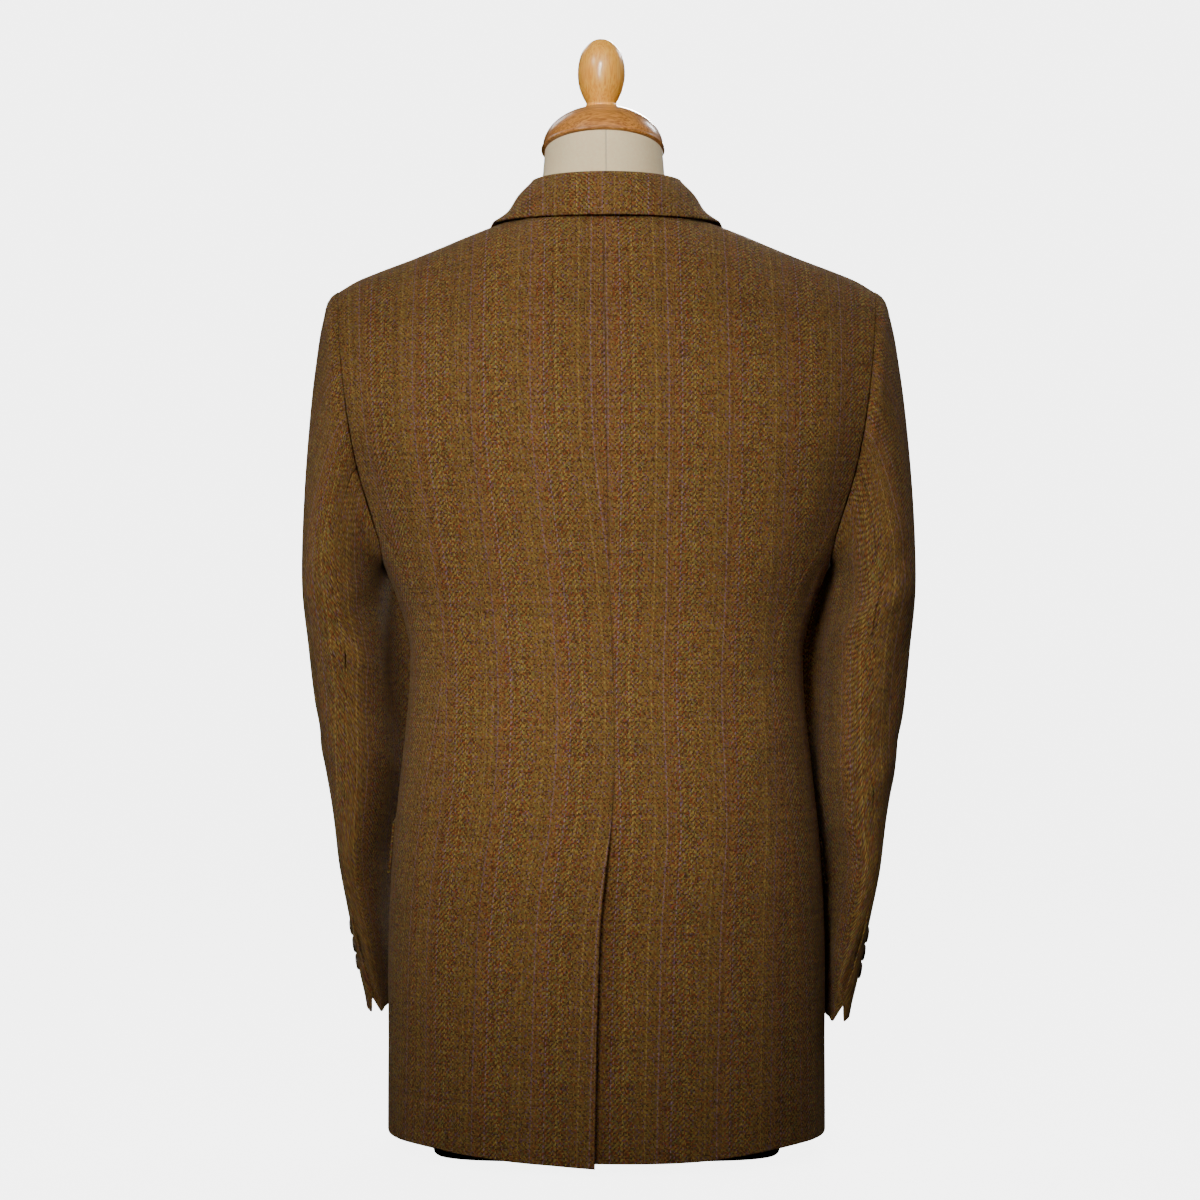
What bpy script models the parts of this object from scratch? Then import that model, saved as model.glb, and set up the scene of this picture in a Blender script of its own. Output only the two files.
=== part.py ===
"""Tweed hacking jacket on a limbless dress form.

Metres, +Z up. The jacket faces -Y and its wearer's left is +X. The origin is the middle of the
base board's underside. Each cloth piece is a wall CLOTH thick whose outer face is lofted from the
section tables below; neighbouring pieces end SEAM apart on the same seam line. Half pieces are
worked out in local coordinates with x growing away from the centre line, and "side" (+1 left,
-1 right) turns a local x into a world x.
"""

import math

import bmesh
import bpy
import numpy as np
from mathutils import Vector

# ---------------------------------------------------------------- driving sizes
LEFT, RIGHT = 1, -1
CLOTH = 0.0018  # tweed wall
SEAM = 0.0003  # gap between two pieces at a seam
LIFT = 0.0004  # clearance under a piece that lies on another
ROUNDNESS = 2.4  # superellipse power of the body's sections

HEM_BACK = 0.0070  # height of the hem at the centre back
HEM_RISE = 0.0102  # how much higher the hem is at the side
BLADE = 0.614  # height where the back starts to turn over the shoulder
CHEST = 0.597  # the same on the front
SHOULDER_TIP = (0.234, 0.002, 0.746)
NECK_POINT = (0.078, 0.003, 0.811)
NAPE = (0.0, 0.072, 0.815)
NECK_SHARE = 3 / 8  # share of the back's columns that end on the neckline

VENT_TOP = 0.300
VENT_UNDERLAP = 0.034
FRONT_LAP = 0.020  # each front passes the centre line by this
BREAK = 0.502  # height where the lapel starts to roll
CUTAWAY_TOP = 0.262
CUTAWAY_REACH = 0.098
BUTTON_HEIGHTS = (0.482, 0.382, 0.282)
BUTTON_RADIUS = 0.0105
CUFF_BUTTON_RADIUS = 0.0072

SLEEVE_TOP_RING = 0.497  # height where the sleeve is a plain tube
CUFF = 0.119  # height of the left cuff at its back edge
CUFF_TILT = 0.13  # rise of the cuff's edge towards the front, per metre of depth
NOTCH = 0.0150  # height of the open V at the cuff vent
RIGHT_CUFF_DROP = 0.0085

# ---------------------------------------------------------------- tables


def smooth_table(names, rows):
    """One smooth function of the first column for each other column."""
    keys = names.split()[1:]
    values = np.array(rows, float)
    at = values[:, 0]
    found = {}
    for column, key in enumerate(keys, 1):
        found[key] = smooth_curve(at, values[:, column])
    return found


def smooth_curve(at, value):
    """Cubic through the points, flat past its ends."""
    step = np.diff(at)
    rise = np.diff(value) / step
    slope = np.empty(len(at))
    slope[0], slope[-1] = rise[0], rise[-1]
    slope[1:-1] = (rise[:-1] * step[1:] + rise[1:] * step[:-1]) / (step[1:] + step[:-1])

    def curve(x):
        x = min(max(x, at[0]), at[-1])
        i = min(int(np.searchsorted(at, x, side="right")) - 1, len(step) - 1)
        t = (x - at[i]) / step[i]
        return float(hermite(value[i], slope[i] * step[i], value[i + 1], slope[i + 1] * step[i], t))

    return curve


def hermite(start, leave, end, arrive, t):
    """Point at t of the cubic that leaves start along leave and reaches end along arrive."""
    t2, t3 = t * t, t * t * t
    return (
        (2 * t3 - 3 * t2 + 1) * start
        + (t3 - 2 * t2 + t) * leave
        + (3 * t2 - 2 * t3) * end
        + (t3 - t2) * arrive
    )


def ease(t):
    """0 below 0, 1 above 1, smooth between."""
    t = min(max(t, 0.0), 1.0)
    return t * t * (3 - 2 * t)


BODY = smooth_table(
    "height half_width back_depth front_depth",
    (
        (0.000, 0.1905, 0.1415, 0.1360),
        (0.100, 0.1900, 0.1405, 0.1360),
        (0.200, 0.1885, 0.1380, 0.1360),
        (0.280, 0.1840, 0.1325, 0.1330),
        (0.337, 0.1780, 0.1245, 0.1290),
        (0.382, 0.1732, 0.1175, 0.1265),
        (0.425, 0.1715, 0.1140, 0.1260),
        (0.455, 0.1752, 0.1145, 0.1275),
        (0.495, 0.1890, 0.1185, 0.1310),
        (0.530, 0.2040, 0.1245, 0.1340),
        (0.563, 0.2180, 0.1290, 0.1360),
        (0.614, 0.2400, 0.1330, 0.1370),
    ),
)
BACK_EDGE = smooth_table(  # side back seam, then the armhole from 0.563 up
    "height x",
    (
        (0.000, 0.1650),
        (0.220, 0.1600),
        (0.310, 0.1510),
        (0.385, 0.1415),
        (0.430, 0.1430),
        (0.480, 0.1580),
        (0.520, 0.1810),
        (0.563, 0.2060),
        (0.590, 0.2135),
        (0.614, 0.2178),
    ),
)
FRONT_EDGE = smooth_table(  # side front seam, then the armhole from 0.542 up
    "height depth",
    (
        (0.000, 0.0700),
        (0.300, 0.0640),
        (0.430, 0.0580),
        (0.500, 0.0510),
        (0.542, 0.0450),
        (0.570, 0.0600),
        (0.597, 0.0700),
    ),
)
SHOULDER = smooth_table(  # ridge of the shoulder, seen from the back
    "x height",
    (
        (0.0780, 0.8110),
        (0.1176, 0.7960),
        (0.1600, 0.7782),
        (0.2067, 0.7602),
        (0.2260, 0.7515),
        (0.2340, 0.7460),
    ),
)
CENTRE_BACK = smooth_table(  # drift of the centre back seam and of the left vent edge
    "height x",
    (
        (0.007, 0.0093),
        (0.100, 0.0079),
        (0.150, 0.0068),
        (0.203, 0.0050),
        (0.250, 0.0008),
        (0.285, -0.0035),
        (0.300, -0.0046),
        (0.550, -0.0010),
        (0.815, 0.0028),
    ),
)
SLEEVE = smooth_table(  # the sleeve's rings, left side
    "height outer half_thick centre_y half_depth turn power hollow",
    (
        (0.100, 0.2090, 0.0105, -0.059, 0.0660, 4.0, 2.7, 0.000),
        (0.120, 0.2095, 0.0108, -0.055, 0.0665, 4.5, 2.7, 0.000),
        (0.147, 0.2145, 0.0125, -0.050, 0.0675, 5.5, 2.6, 0.000),
        (0.172, 0.2185, 0.0137, -0.045, 0.0680, 7.0, 2.5, 0.000),
        (0.197, 0.2225, 0.0147, -0.041, 0.0685, 9.5, 2.4, 0.000),
        (0.222, 0.2268, 0.0150, -0.038, 0.0688, 13.0, 2.3, 0.001),
        (0.247, 0.2315, 0.0168, -0.034, 0.0690, 14.0, 2.2, 0.003),
        (0.297, 0.2392, 0.0262, -0.031, 0.0695, 12.0, 2.1, 0.008),
        (0.340, 0.2478, 0.0350, -0.029, 0.0705, 12.0, 2.0, 0.013),
        (0.382, 0.2545, 0.0388, -0.027, 0.0710, 13.0, 2.0, 0.017),
        (0.437, 0.2605, 0.0416, -0.022, 0.0730, 14.5, 2.0, 0.019),
        (0.467, 0.2628, 0.0395, -0.017, 0.0750, 14.0, 2.0, 0.017),
        (0.497, 0.2645, 0.0350, -0.010, 0.0770, 11.0, 2.0, 0.012),
    ),
)
SLEEVE_DRIFT = smooth_table(  # how far the sleeve's seams have turned round it
    "height degrees",
    ((0.10, -6.0), (0.13, -12.0), (0.17, -24.0), (0.22, -32.0), (0.29, -26.0), (0.38, -12.0), (0.497, 0.0)),
)
RIGHT_SLEEVE_OUT = smooth_table(  # the right sleeve's outer face is this much further out
    "height x", ((0.10, 0.0030), (0.30, 0.0060), (0.50, 0.0040), (0.62, 0.0015), (0.72, 0.0))
)
TORSO_ROWS = (  # height, half width, depth at the back and at the front, superellipse power
    (0.0183, 0.150, 0.1000, 0.0980, 2.4),
    (0.0300, 0.164, 0.1120, 0.1100, 2.4),
    (0.1000, 0.172, 0.1220, 0.1180, 2.4),
    (0.2000, 0.171, 0.1200, 0.1180, 2.4),
    (0.3000, 0.163, 0.1110, 0.1120, 2.3),
    (0.3800, 0.152, 0.0990, 0.1080, 2.3),
    (0.4250, 0.150, 0.0960, 0.1070, 2.3),
    (0.4800, 0.160, 0.1000, 0.1100, 2.3),
    (0.5300, 0.176, 0.1060, 0.1140, 2.3),
    (0.5800, 0.189, 0.1100, 0.1150, 2.2),
    (0.6200, 0.197, 0.1110, 0.1110, 2.1),
    (0.6600, 0.202, 0.1040, 0.1000, 2.0),
    (0.7000, 0.203, 0.0890, 0.0830, 2.0),
    (0.7250, 0.196, 0.0740, 0.0660, 2.0),
    (0.7450, 0.178, 0.0600, 0.0520, 2.0),
    (0.7620, 0.148, 0.0510, 0.0450, 2.0),
    (0.7780, 0.108, 0.0470, 0.0420, 2.0),
    (0.7900, 0.079, 0.0480, 0.0420, 2.0),
    (0.8050, 0.062, 0.0510, 0.0440, 2.0),
    (0.8250, 0.056, 0.0520, 0.0480, 2.0),
    (0.8500, 0.053, 0.0520, 0.0500, 2.0),
    (0.8677, 0.0515, 0.0515, 0.0505, 2.0),
)
FORM_X = 0.0025
BOARD = (0.150, 0.078)  # half width and half depth
CAP_CENTRE = (0.0030, 0.8685)  # x, and height of the rim's middle
CAP_TILT = math.radians(13.5)
CAP_RADIUS, CAP_HEIGHT = 0.0540, 0.0380
CAP_RIM = ((0.0, 0.0), (0.0525, 0.0), (0.0540, 0.0012), (0.0535, 0.0028))
KNOB_X = 0.0045
KNOB_PROFILE = (  # radius, height
    (0.0000, 0.9079),
    (0.0131, 0.9079),
    (0.0137, 0.9087),
    (0.0130, 0.9105),
    (0.0149, 0.9140),
    (0.0166, 0.9175),
    (0.0192, 0.9245),
    (0.0205, 0.9325),
    (0.0205, 0.9410),
    (0.0192, 0.9490),
    (0.0166, 0.9560),
    (0.0140, 0.9595),
    (0.0105, 0.9632),
    (0.0055, 0.9662),
    (0.0000, 0.9672),
)

# ---------------------------------------------------------------- body surface


def signed_power(value, power):
    return math.copysign(abs(value) ** power, value)


def section_point(angle, z):
    """Outer face of the body at this angle from the centre back."""
    power = 2 / ROUNDNESS
    depth = BODY["back_depth"](z) if math.cos(angle) >= 0 else BODY["front_depth"](z)
    x = BODY["half_width"](z) * signed_power(math.sin(angle), power)
    return np.array((x, depth * signed_power(math.cos(angle), power), z))


def depth_at(x, z, depth):
    """How far the section stands from the x axis at this x."""
    share = min(abs(x) / BODY["half_width"](z), 1.0)
    return depth * (1 - share**ROUNDNESS) ** (1 / ROUNDNESS)


def back_point(x, z):
    return np.array((x, depth_at(x, z, BODY["back_depth"](z)), z))


def front_point(x, z):
    return np.array((x, -depth_at(x, z, BODY["front_depth"](z)), z))


def back_angle(z):
    """Angle of the side back seam."""
    share = BACK_EDGE["x"](z) / BODY["half_width"](z)
    return math.asin(share ** (ROUNDNESS / 2))


def front_angle(z):
    """Angle of the side front seam."""
    share = FRONT_EDGE["depth"](z) / BODY["front_depth"](z)
    return math.pi - math.acos(share ** (ROUNDNESS / 2))


def front_edge_x(z):
    return section_point(front_angle(z), z)[0]


def hem_height(x):
    return HEM_BACK + HEM_RISE * min(abs(x) / 0.155, 1.0) ** 1.7


# Rows of the lower pieces, as shares of the way from the hem to the armhole.
LOWER_ROWS = (0, 0.035, 0.09, 0.17, 0.26, 0.35, 0.44, 0.52, 0.5475, 0.60, 0.67, 0.74, 0.81, 0.87, 0.94, 1)
BACK_ARMHOLE, FRONT_ARMHOLE, UNDERARM = 0.563, 0.542, 0.509
ARMHOLE_ROWS = (1.5, 2.0)  # between the armhole's start and the blade or the chest
TURN_ROWS = (2 + 1 / 6, 2 + 2 / 6, 2.5, 2 + 4 / 6, 2 + 5 / 6, 3.0)  # over the shoulder
ALL_ROWS = LOWER_ROWS + ARMHOLE_ROWS + TURN_ROWS
BACK_COLUMNS = 8
FRONT_COLUMNS = 9
SIDE_COLUMNS = 6


def armhole_height(across):
    """Top edge of the side body, from its back seam to its front seam."""
    level = BACK_ARMHOLE + (FRONT_ARMHOLE - BACK_ARMHOLE) * across
    dip = (BACK_ARMHOLE + FRONT_ARMHOLE) / 2 - UNDERARM
    return level - dip * 4 * across * (1 - across)


def shoulder_seam(share):
    """Point of the shoulder seam, from the neck point to the tip."""
    x = NECK_POINT[0] + (SHOULDER_TIP[0] - NECK_POINT[0]) * share
    y = NECK_POINT[1] + (SHOULDER_TIP[1] - NECK_POINT[1]) * share
    return np.array((x, y, SHOULDER["height"](x)))


def neckline(share):
    """Point of the back neckline, from the nape to the neck point."""
    angle = share * math.pi / 2
    x = NECK_POINT[0] * math.sin(angle)
    y = NECK_POINT[1] + (NAPE[1] - NECK_POINT[1]) * math.cos(angle)
    return np.array((x, y, NAPE[2] + (NECK_POINT[2] - NAPE[2]) * math.sin(angle) ** 2))


def shoulder_normal(share):
    """Normal of the cloth along the shoulder seam, the same for both of its pieces."""
    front = np.array((0.0, UPPER_FRONT["reach_y"](1 - share), UPPER_FRONT["reach_z"](1 - share)))
    back_share = NECK_SHARE + (1 - NECK_SHARE) * share
    back = np.array((0.0, UPPER_BACK["reach_y"](back_share), UPPER_BACK["reach_z"](back_share)))
    along = shoulder_seam(min(share + 0.01, 1.0)) - shoulder_seam(max(share - 0.01, 0.0))
    return unit(np.cross(along, unit(front) - unit(back)))


# ---------------------------------------------------------------- back


def centre_edge(side, z):
    """Local x of the back's inner edge: the centre seam, and below it the vent."""
    line = CENTRE_BACK["x"](z)
    if side == LEFT:
        return line
    under = ease((VENT_TOP + 0.0115 - z) / 0.014)
    return -(line + VENT_UNDERLAP * under)


def back_offset(side, x, z):
    """Out of the body: the left vent edge stands off, the right one passes under it."""
    world_x = side * x
    line = CENTRE_BACK["x"](z)
    if side == LEFT:
        below = ease((VENT_TOP - z) / 0.26)
        return 0.0045 * below * ease(1 - (world_x - line) / 0.060) ** 2
    below = ease((VENT_TOP + 0.0405 - z) / 0.028)
    return -(CLOTH + LIFT) * below * ease((world_x - line + 0.030) / 0.024)


UPPER_BACK = smooth_table(  # how the back arrives at its top edge
    "share reach_y reach_z",
    (
        (0.00, -0.090, 0.180),
        (0.17, -0.145, 0.100),
        (0.375, -0.270, -0.010),
        (0.60, -0.205, 0.004),
        (1.00, -0.105, 0.010),
    ),
)


def back_surface(side, across, z_or_turn, upper):
    """Outer face of a back: z_or_turn is a height below BLADE, or the share of the turn above it."""
    if not upper:
        z = z_or_turn
        start = centre_edge(side, z)
        x = start + (BACK_EDGE["x"](z) - start) * across
        point = back_point(x, z)
        return point + outward(x, z, True) * back_offset(side, x, z)
    blade = back_surface(side, across, BLADE, False)
    before = back_surface(side, across, BLADE - 0.002, False)
    if across < NECK_SHARE:
        top = neckline(across / NECK_SHARE)
        top[0] += side * CENTRE_BACK["x"](NAPE[2]) * (1 - across / NECK_SHARE)
    else:
        top = shoulder_seam((across - NECK_SHARE) / (1 - NECK_SHARE))
    rise = top[2] - blade[2]
    leave = (blade - before) / 0.002 * rise
    arrive = np.array((0.0, UPPER_BACK["reach_y"](across), UPPER_BACK["reach_z"](across)))
    return hermite(blade, leave, top, arrive, z_or_turn)


def outward(x, z, back):
    """Unit normal of the body's section at this x."""
    step = 0.001
    surface = back_point if back else front_point
    along = surface(x + step, z) - surface(x - step, z)
    up = surface(x, z + step) - surface(x, z - step)
    normal = np.cross(up, along) if back else np.cross(along, up)
    return normal / np.linalg.norm(normal)


def back_grid(side):
    """Rows 0 to 1 rise to the armhole, 1 to 2 to the blade, and 2 to 3 turn over the shoulder."""

    def point(across, row):
        if row > 2:
            return back_surface(side, across, row - 2, True)
        if row > 1:
            z = BACK_ARMHOLE + (BLADE - BACK_ARMHOLE) * (row - 1)
            return back_surface(side, across, z, False)
        edge = centre_edge(side, 0.05)
        x = edge + (BACK_EDGE["x"](0.0) - edge) * across
        hem = hem_height(x) + (0.0 if side == LEFT else 0.0025 * ease(1 - x / 0.1))
        return back_surface(side, across, hem + (BACK_ARMHOLE - hem) * row, False)

    columns = np.linspace(0, 1, BACK_COLUMNS + 1)
    points, normals = grid_of(point, columns, ALL_ROWS)
    for j, across in enumerate(columns):
        if across >= NECK_SHARE:
            normals[-1, j] = shoulder_normal((across - NECK_SHARE) / (1 - NECK_SHARE))
    return points, normals


# ---------------------------------------------------------------- side body


def side_grid():
    def point(across, share):
        hem = hem_height(0.185)
        z = hem + (armhole_height(across) - hem) * share
        angle = back_angle(z) + (front_angle(z) - back_angle(z)) * across
        return section_point(angle, z)

    return grid_of(point, np.linspace(0, 1, SIDE_COLUMNS + 1), LOWER_ROWS)


# ---------------------------------------------------------------- front


def roll_line(z):
    """Local x of the fold of the lapel."""
    share = (z - BREAK) / (NECK_POINT[2] - BREAK)
    return -FRONT_LAP + (NECK_POINT[0] + FRONT_LAP) * share


def front_edge(z):
    """Local x of the front's free edge: cutaway, straight edge, then the fold of the lapel."""
    if z > BREAK:
        return roll_line(z)
    down = max((CUTAWAY_TOP - z) / (CUTAWAY_TOP - HEM_BACK), 0.0)
    down = min(down, 1.0)
    return -FRONT_LAP + CUTAWAY_REACH * (1 - (1 - down**2.3) ** 0.55)


def front_offset(side, x, z):
    """The left front lies over the right one, and over its folded lapel near the break."""
    if side == RIGHT:
        return 0.0
    over = ease((0.095 - x) / 0.080) * ease((0.690 - z) / 0.080)
    lapel = ease((z - 0.440) / 0.050)
    return (CLOTH + LIFT + 0.0003 + (CLOTH + 0.0024) * lapel) * over


UPPER_FRONT = smooth_table(
    "share reach_y reach_z", ((0.00, 0.105, 0.010), (0.50, 0.170, 0.030), (1.00, 0.150, 0.090))
)


def front_surface(side, across, value, upper):
    """Outer face of a front, across from the side seam or armhole to the free edge."""
    if not upper:
        start = front_edge_x(value)
        x = start + (front_edge(value) - start) * across
        return front_point(x, value) + outward(x, value, False) * front_offset(side, x, value)
    chest = front_surface(side, across, CHEST, False)
    before = front_surface(side, across, CHEST - 0.002, False)
    top = shoulder_seam(1 - across)
    leave = (chest - before) / 0.002 * (top[2] - chest[2])
    arrive = np.array((0.0, UPPER_FRONT["reach_y"](across), UPPER_FRONT["reach_z"](across)))
    return hermite(chest, leave, top, arrive, value)


def front_grid(side):
    def point(across, row):
        if row > 2:
            return front_surface(side, across, row - 2, True)
        if row > 1:
            z = FRONT_ARMHOLE + (CHEST - FRONT_ARMHOLE) * (row - 1)
            return front_surface(side, across, z, False)
        hem = hem_height(0.185)
        return front_surface(side, across, hem + (FRONT_ARMHOLE - hem) * row, False)

    columns = np.linspace(0, 1, FRONT_COLUMNS + 1)
    points, normals = grid_of(point, columns, ALL_ROWS)
    for j, across in enumerate(columns):
        normals[-1, j] = shoulder_normal(1 - across)
    return points, normals


# ---------------------------------------------------------------- lapel

LAPEL_WIDTH = smooth_table(  # by the height of its fold
    "height width",
    (
        (0.505, 0.0040),
        (0.545, 0.0190),
        (0.597, 0.0390),
        (0.650, 0.0570),
        (0.700, 0.0725),
        (0.746, 0.0840),
    ),
)
LAPEL_START = {LEFT: 0.93, RIGHT: 0.98}  # row of the front where the lapel leaves the break
LAPEL_FOLLOWS = (1.0, 1.5, 2.0, 2 + 1 / 6, 2 + 2 / 6)  # rows of the front that the lapel lies on
GORGE_ROW, TIP_ROW = 2.605, 2.500  # rows of the gorge seam at the fold and of the lapel's tip
NOTCH_SHARE = 0.55  # share of the lapel's width that is sewn to the collar
LEAF_CORNER = (0.705, 2.660)  # across and row of the collar's front corner
ROLL = 0.0025  # how far a fold stands out from the edge it goes round


def front_point_at(side, across, row):
    if row > 2:
        return front_surface(side, across, row - 2, True)
    if row > 1:
        return front_surface(side, across, FRONT_ARMHOLE + (CHEST - FRONT_ARMHOLE) * (row - 1), False)
    hem = hem_height(0.185)
    return front_surface(side, across, hem + (FRONT_ARMHOLE - hem) * row, False)


def front_frame(side, across, row):
    """Point, outward normal and the direction towards the centre of a front."""
    step = 0.002
    right = front_point_at(side, min(across + step, 1.0), row)
    left = front_point_at(side, across - step, row)
    above = front_point_at(side, across, row + step)
    below = front_point_at(side, across, row - step)
    normal = unit(np.cross(above - below, right - left))
    return front_point_at(side, across, row), normal, unit(right - left)


def gorge_row(across):
    """Row of the lapel's top edge, from the fold (across 0) to its tip (across 1)."""
    return GORGE_ROW + (TIP_ROW - GORGE_ROW) * across**1.15


def lapel_row(side, step, across):
    """Row of the front under this step of the lapel, 0 at the break and 7 at the top edge."""
    low = (LAPEL_START[side],) + LAPEL_FOLLOWS
    top = gorge_row(across)
    rows = low + (low[-1] + 0.6 * (top - low[-1]), top)
    whole = min(int(step), len(rows) - 2)
    return rows[whole] + (rows[whole + 1] - rows[whole]) * (step - whole)


def lapel_across(side, row):
    """Share of the front's width that the lapel covers at this row."""
    fold = front_point_at(side, 1.0, row)
    length = 2 * np.linalg.norm(fold - front_point_at(side, 0.5, row))
    return LAPEL_WIDTH["width"](fold[2]) / length


def lapel_grid(side):
    columns = (0.0, 0.2, 0.4, NOTCH_SHARE, 0.78, 1.0)

    def point(across, step):
        flat = max(across, 0.0)
        turn = -min(across, 0.0) * math.pi / 2  # how far round the fold
        wide = lapel_across(side, lapel_row(side, step, 0.0))
        seat, normal, inward = front_frame(side, 1 - wide * flat, lapel_row(side, step, flat))
        lift = CLOTH + LIFT + 0.0010 * (1 - flat) ** 2 - (CLOTH + 2 * LIFT) * (1 - math.cos(turn))
        return seat + normal * lift + inward * ROLL * math.sin(turn)

    return grid_of(point, (-1.0, -0.5) + columns, range(8), 0.01)


# ---------------------------------------------------------------- collar

COLLAR_EDGE = (0.1005, 0.0805, 0.8037)  # half width, depth and height of the fall's free edge
COLLAR_TOP = (0.0634, 0.0640, 0.8430)
COLLAR_BASE = (0.0735, 0.0640, 0.8165)
COLLAR_SIDE_EDGE = 0.8053
COLLAR_DRAWN_IN = 0.0012  # how much nearer the neck the edge lies, half way round to the shoulder
BEND = 0.0030  # half thickness of the bend at the top of the collar
FALL_BULGE = 0.0022
FALL_FLARE = 0.0034


def collar_stations(side):
    """(edge, top, base, hollow) from the centre back to the gorge."""
    stations = []
    for degrees in (0, 15, 30, 45, 60, 75, 90):
        angle = math.radians(degrees)
        rings = []
        for wide, deep, height in (COLLAR_EDGE, COLLAR_TOP, COLLAR_BASE):
            x, y = wide * math.sin(angle), deep * math.cos(angle)
            rings.append(np.array((x, NECK_POINT[1] + y, height)))
        rings[0][:2] -= np.array((math.sin(angle), math.cos(angle))) * COLLAR_DRAWN_IN * math.sin(2 * angle) ** 2
        rings[0][2] += (COLLAR_SIDE_EDGE - COLLAR_EDGE[2]) * math.sin(angle) ** 2
        stations.append((*rings, ease((degrees - 30) / 60)))
    front = (  # across and row of the edge, then the top, the base and the hollow
        (0.803, 2.880, (0.0655, -0.0200, 0.8240), (0.0690, -0.0190, 0.8010), 0.6),
        (0.752, 2.770, (0.0662, -0.0400, 0.7990), (0.0665, -0.0390, 0.7780), 0.3),
        (0.722, 2.700, (0.0650, -0.0540, 0.7790), (0.0640, -0.0530, 0.7640), 0.0),
        (0.711, 2.675, (0.0635, -0.0625, 0.7630), (0.0620, -0.0610, 0.7530), 0.0),
    )
    for across, row, top, base, hollow in front:
        point, normal, _ = front_frame(side, across, row)
        stations.append((point + normal * (CLOTH + LIFT), np.array(top), np.array(base), hollow))
    return stations


def collar_section(edge, top, base, hollow):
    """Points from the fall's free edge over the top and down the stand. hollow says how far the fall
    curves in above its edge instead of out, from 0 to 1."""
    out = unit((edge - top) * np.array((1.0, 1.0, 0.0)))
    normal = unit(out * 0.55 + np.array((0.0, 0.0, 0.8)))
    crest_out = top + out * BEND - np.array((0, 0, BEND))
    crest_in = top - out * BEND - np.array((0, 0, BEND))
    points = [edge]
    for share, flare in ((1 / 3, FALL_FLARE), (2 / 3, 0.0)):
        bulge = FALL_BULGE * math.sin(share * math.pi) * (1 - hollow) - flare * hollow
        points.append(edge + (crest_out - edge) * share + normal * bulge)
    return points + [crest_out, top, crest_in, (crest_in + base) / 2, base]


def collar_end(side):
    """The leaf's front corner, the notch, the gorge seam, and round the fold."""
    seam = 0.0015  # a seam's gap, in rows
    wide = lapel_across(side, GORGE_ROW)
    seats = [front_frame(side, *LEAF_CORNER)]
    for flat in (NOTCH_SHARE, 0.3, 0.08):
        seats.append(front_frame(side, 1 - wide * flat, gorge_row(flat) + seam))
    lifts = (0.0, 0.0001, 0.0003, 0.0008)
    points = [seat + normal * (CLOTH + LIFT + up) for (seat, normal, _), up in zip(seats, lifts)]
    seat, normal, inward = front_frame(side, 1.0, GORGE_ROW + seam)
    for out, up in ((0.60, 0.0026), (1.15, 0.0008), (1.2, -0.0020), (0.9, -0.0050)):
        points.append(seat + inward * ROLL * out + normal * up)
    return points


def collar_grid():
    half = {}
    for side in (LEFT, RIGHT):
        sections = [collar_section(*station) for station in collar_stations(side)]
        sections.append(collar_end(side))
        half[side] = mirrored(np.array(sections), side)
    return np.concatenate((half[RIGHT][:0:-1], half[LEFT]))


# ---------------------------------------------------------------- sleeves

BACK_TURN, UNDER_TURN = 125.0, 110.0  # degrees of the sleeve's ring that the back and underarm take
HINDARM, FOREARM = 7, 15  # columns of the sleeve's two seams
CAP_ROWS = (0.0, 0.12, 0.26, 0.42, 0.60, 0.80, 1.0)
TUBE_ROWS = (0.16, 0.31, 0.43, 0.54, 0.65, 0.75, 0.84, 0.92, 0.97, 1.0)


def armhole_loop(side):
    """Outer points of the armhole from the shoulder tip down the back and up the front, with the
    ring angle in degrees that each belongs to."""
    rows = [row for row in ALL_ROWS if row >= 1]
    back, _ = back_grid(side)
    front, _ = front_grid(side)
    body, _ = side_grid()
    first = len(ALL_ROWS) - len(rows)
    down = [back[i, -1] for i in range(len(ALL_ROWS) - 1, first - 1, -1)]
    under = [body[-1, column] for column in range(1, SIDE_COLUMNS + 1)]
    up = [front[i, 0] for i in range(first + 1, len(ALL_ROWS) - 1)]
    step = BACK_TURN / (len(down) - 1)
    angles = [step * i for i in range(len(down))]
    angles += [BACK_TURN + UNDER_TURN * i / SIDE_COLUMNS for i in range(1, SIDE_COLUMNS + 1)]
    angles += [BACK_TURN + UNDER_TURN + step * (i + 1) for i in range(len(up))]
    return np.array(down + under + up), np.array(angles)


def sleeve_ring(side, degrees, z):
    """Point of the hanging sleeve at this height."""
    out = RIGHT_SLEEVE_OUT["x"](z) if side == RIGHT else 0.0
    half_thick, half_depth = SLEEVE["half_thick"](z) + out / 2, SLEEVE["half_depth"](z)
    turn = math.radians(SLEEVE["turn"](z))
    power = 2 / SLEEVE["power"](z)
    angle = math.radians(degrees + SLEEVE_DRIFT["degrees"](z))
    x = half_thick * signed_power(math.cos(angle), power)
    y = half_depth * signed_power(math.sin(angle), power)
    reach = math.hypot(half_thick * math.cos(turn), half_depth * math.sin(turn))
    centre_x = SLEEVE["outer"](z) + out - reach
    turned_x = x * math.cos(turn) + y * math.sin(turn)
    turned_y = y * math.cos(turn) - x * math.sin(turn)
    inner = max(math.cos((angle - math.radians(152)) * 1.6), 0.0) if abs(angle - 2.65) < 1.0 else 0.0
    turned_y -= SLEEVE["hollow"](z) * inner**2
    return np.array((centre_x + turned_x, SLEEVE["centre_y"](z) + turned_y, z))


def tube_point(side, degrees, share):
    """Point of the plain part of the sleeve, from its top ring (share 0) to the cuff (share 1)."""
    point = sleeve_ring(side, degrees, SLEEVE_TOP_RING + (CUFF - SLEEVE_TOP_RING) * share)
    forward = SLEEVE["centre_y"](CUFF) + SLEEVE["half_depth"](CUFF) - point[1]
    drop = RIGHT_CUFF_DROP if side == RIGHT else 0.0
    point[2] += CUFF_TILT * forward * share**2 - drop * share
    return point


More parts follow.
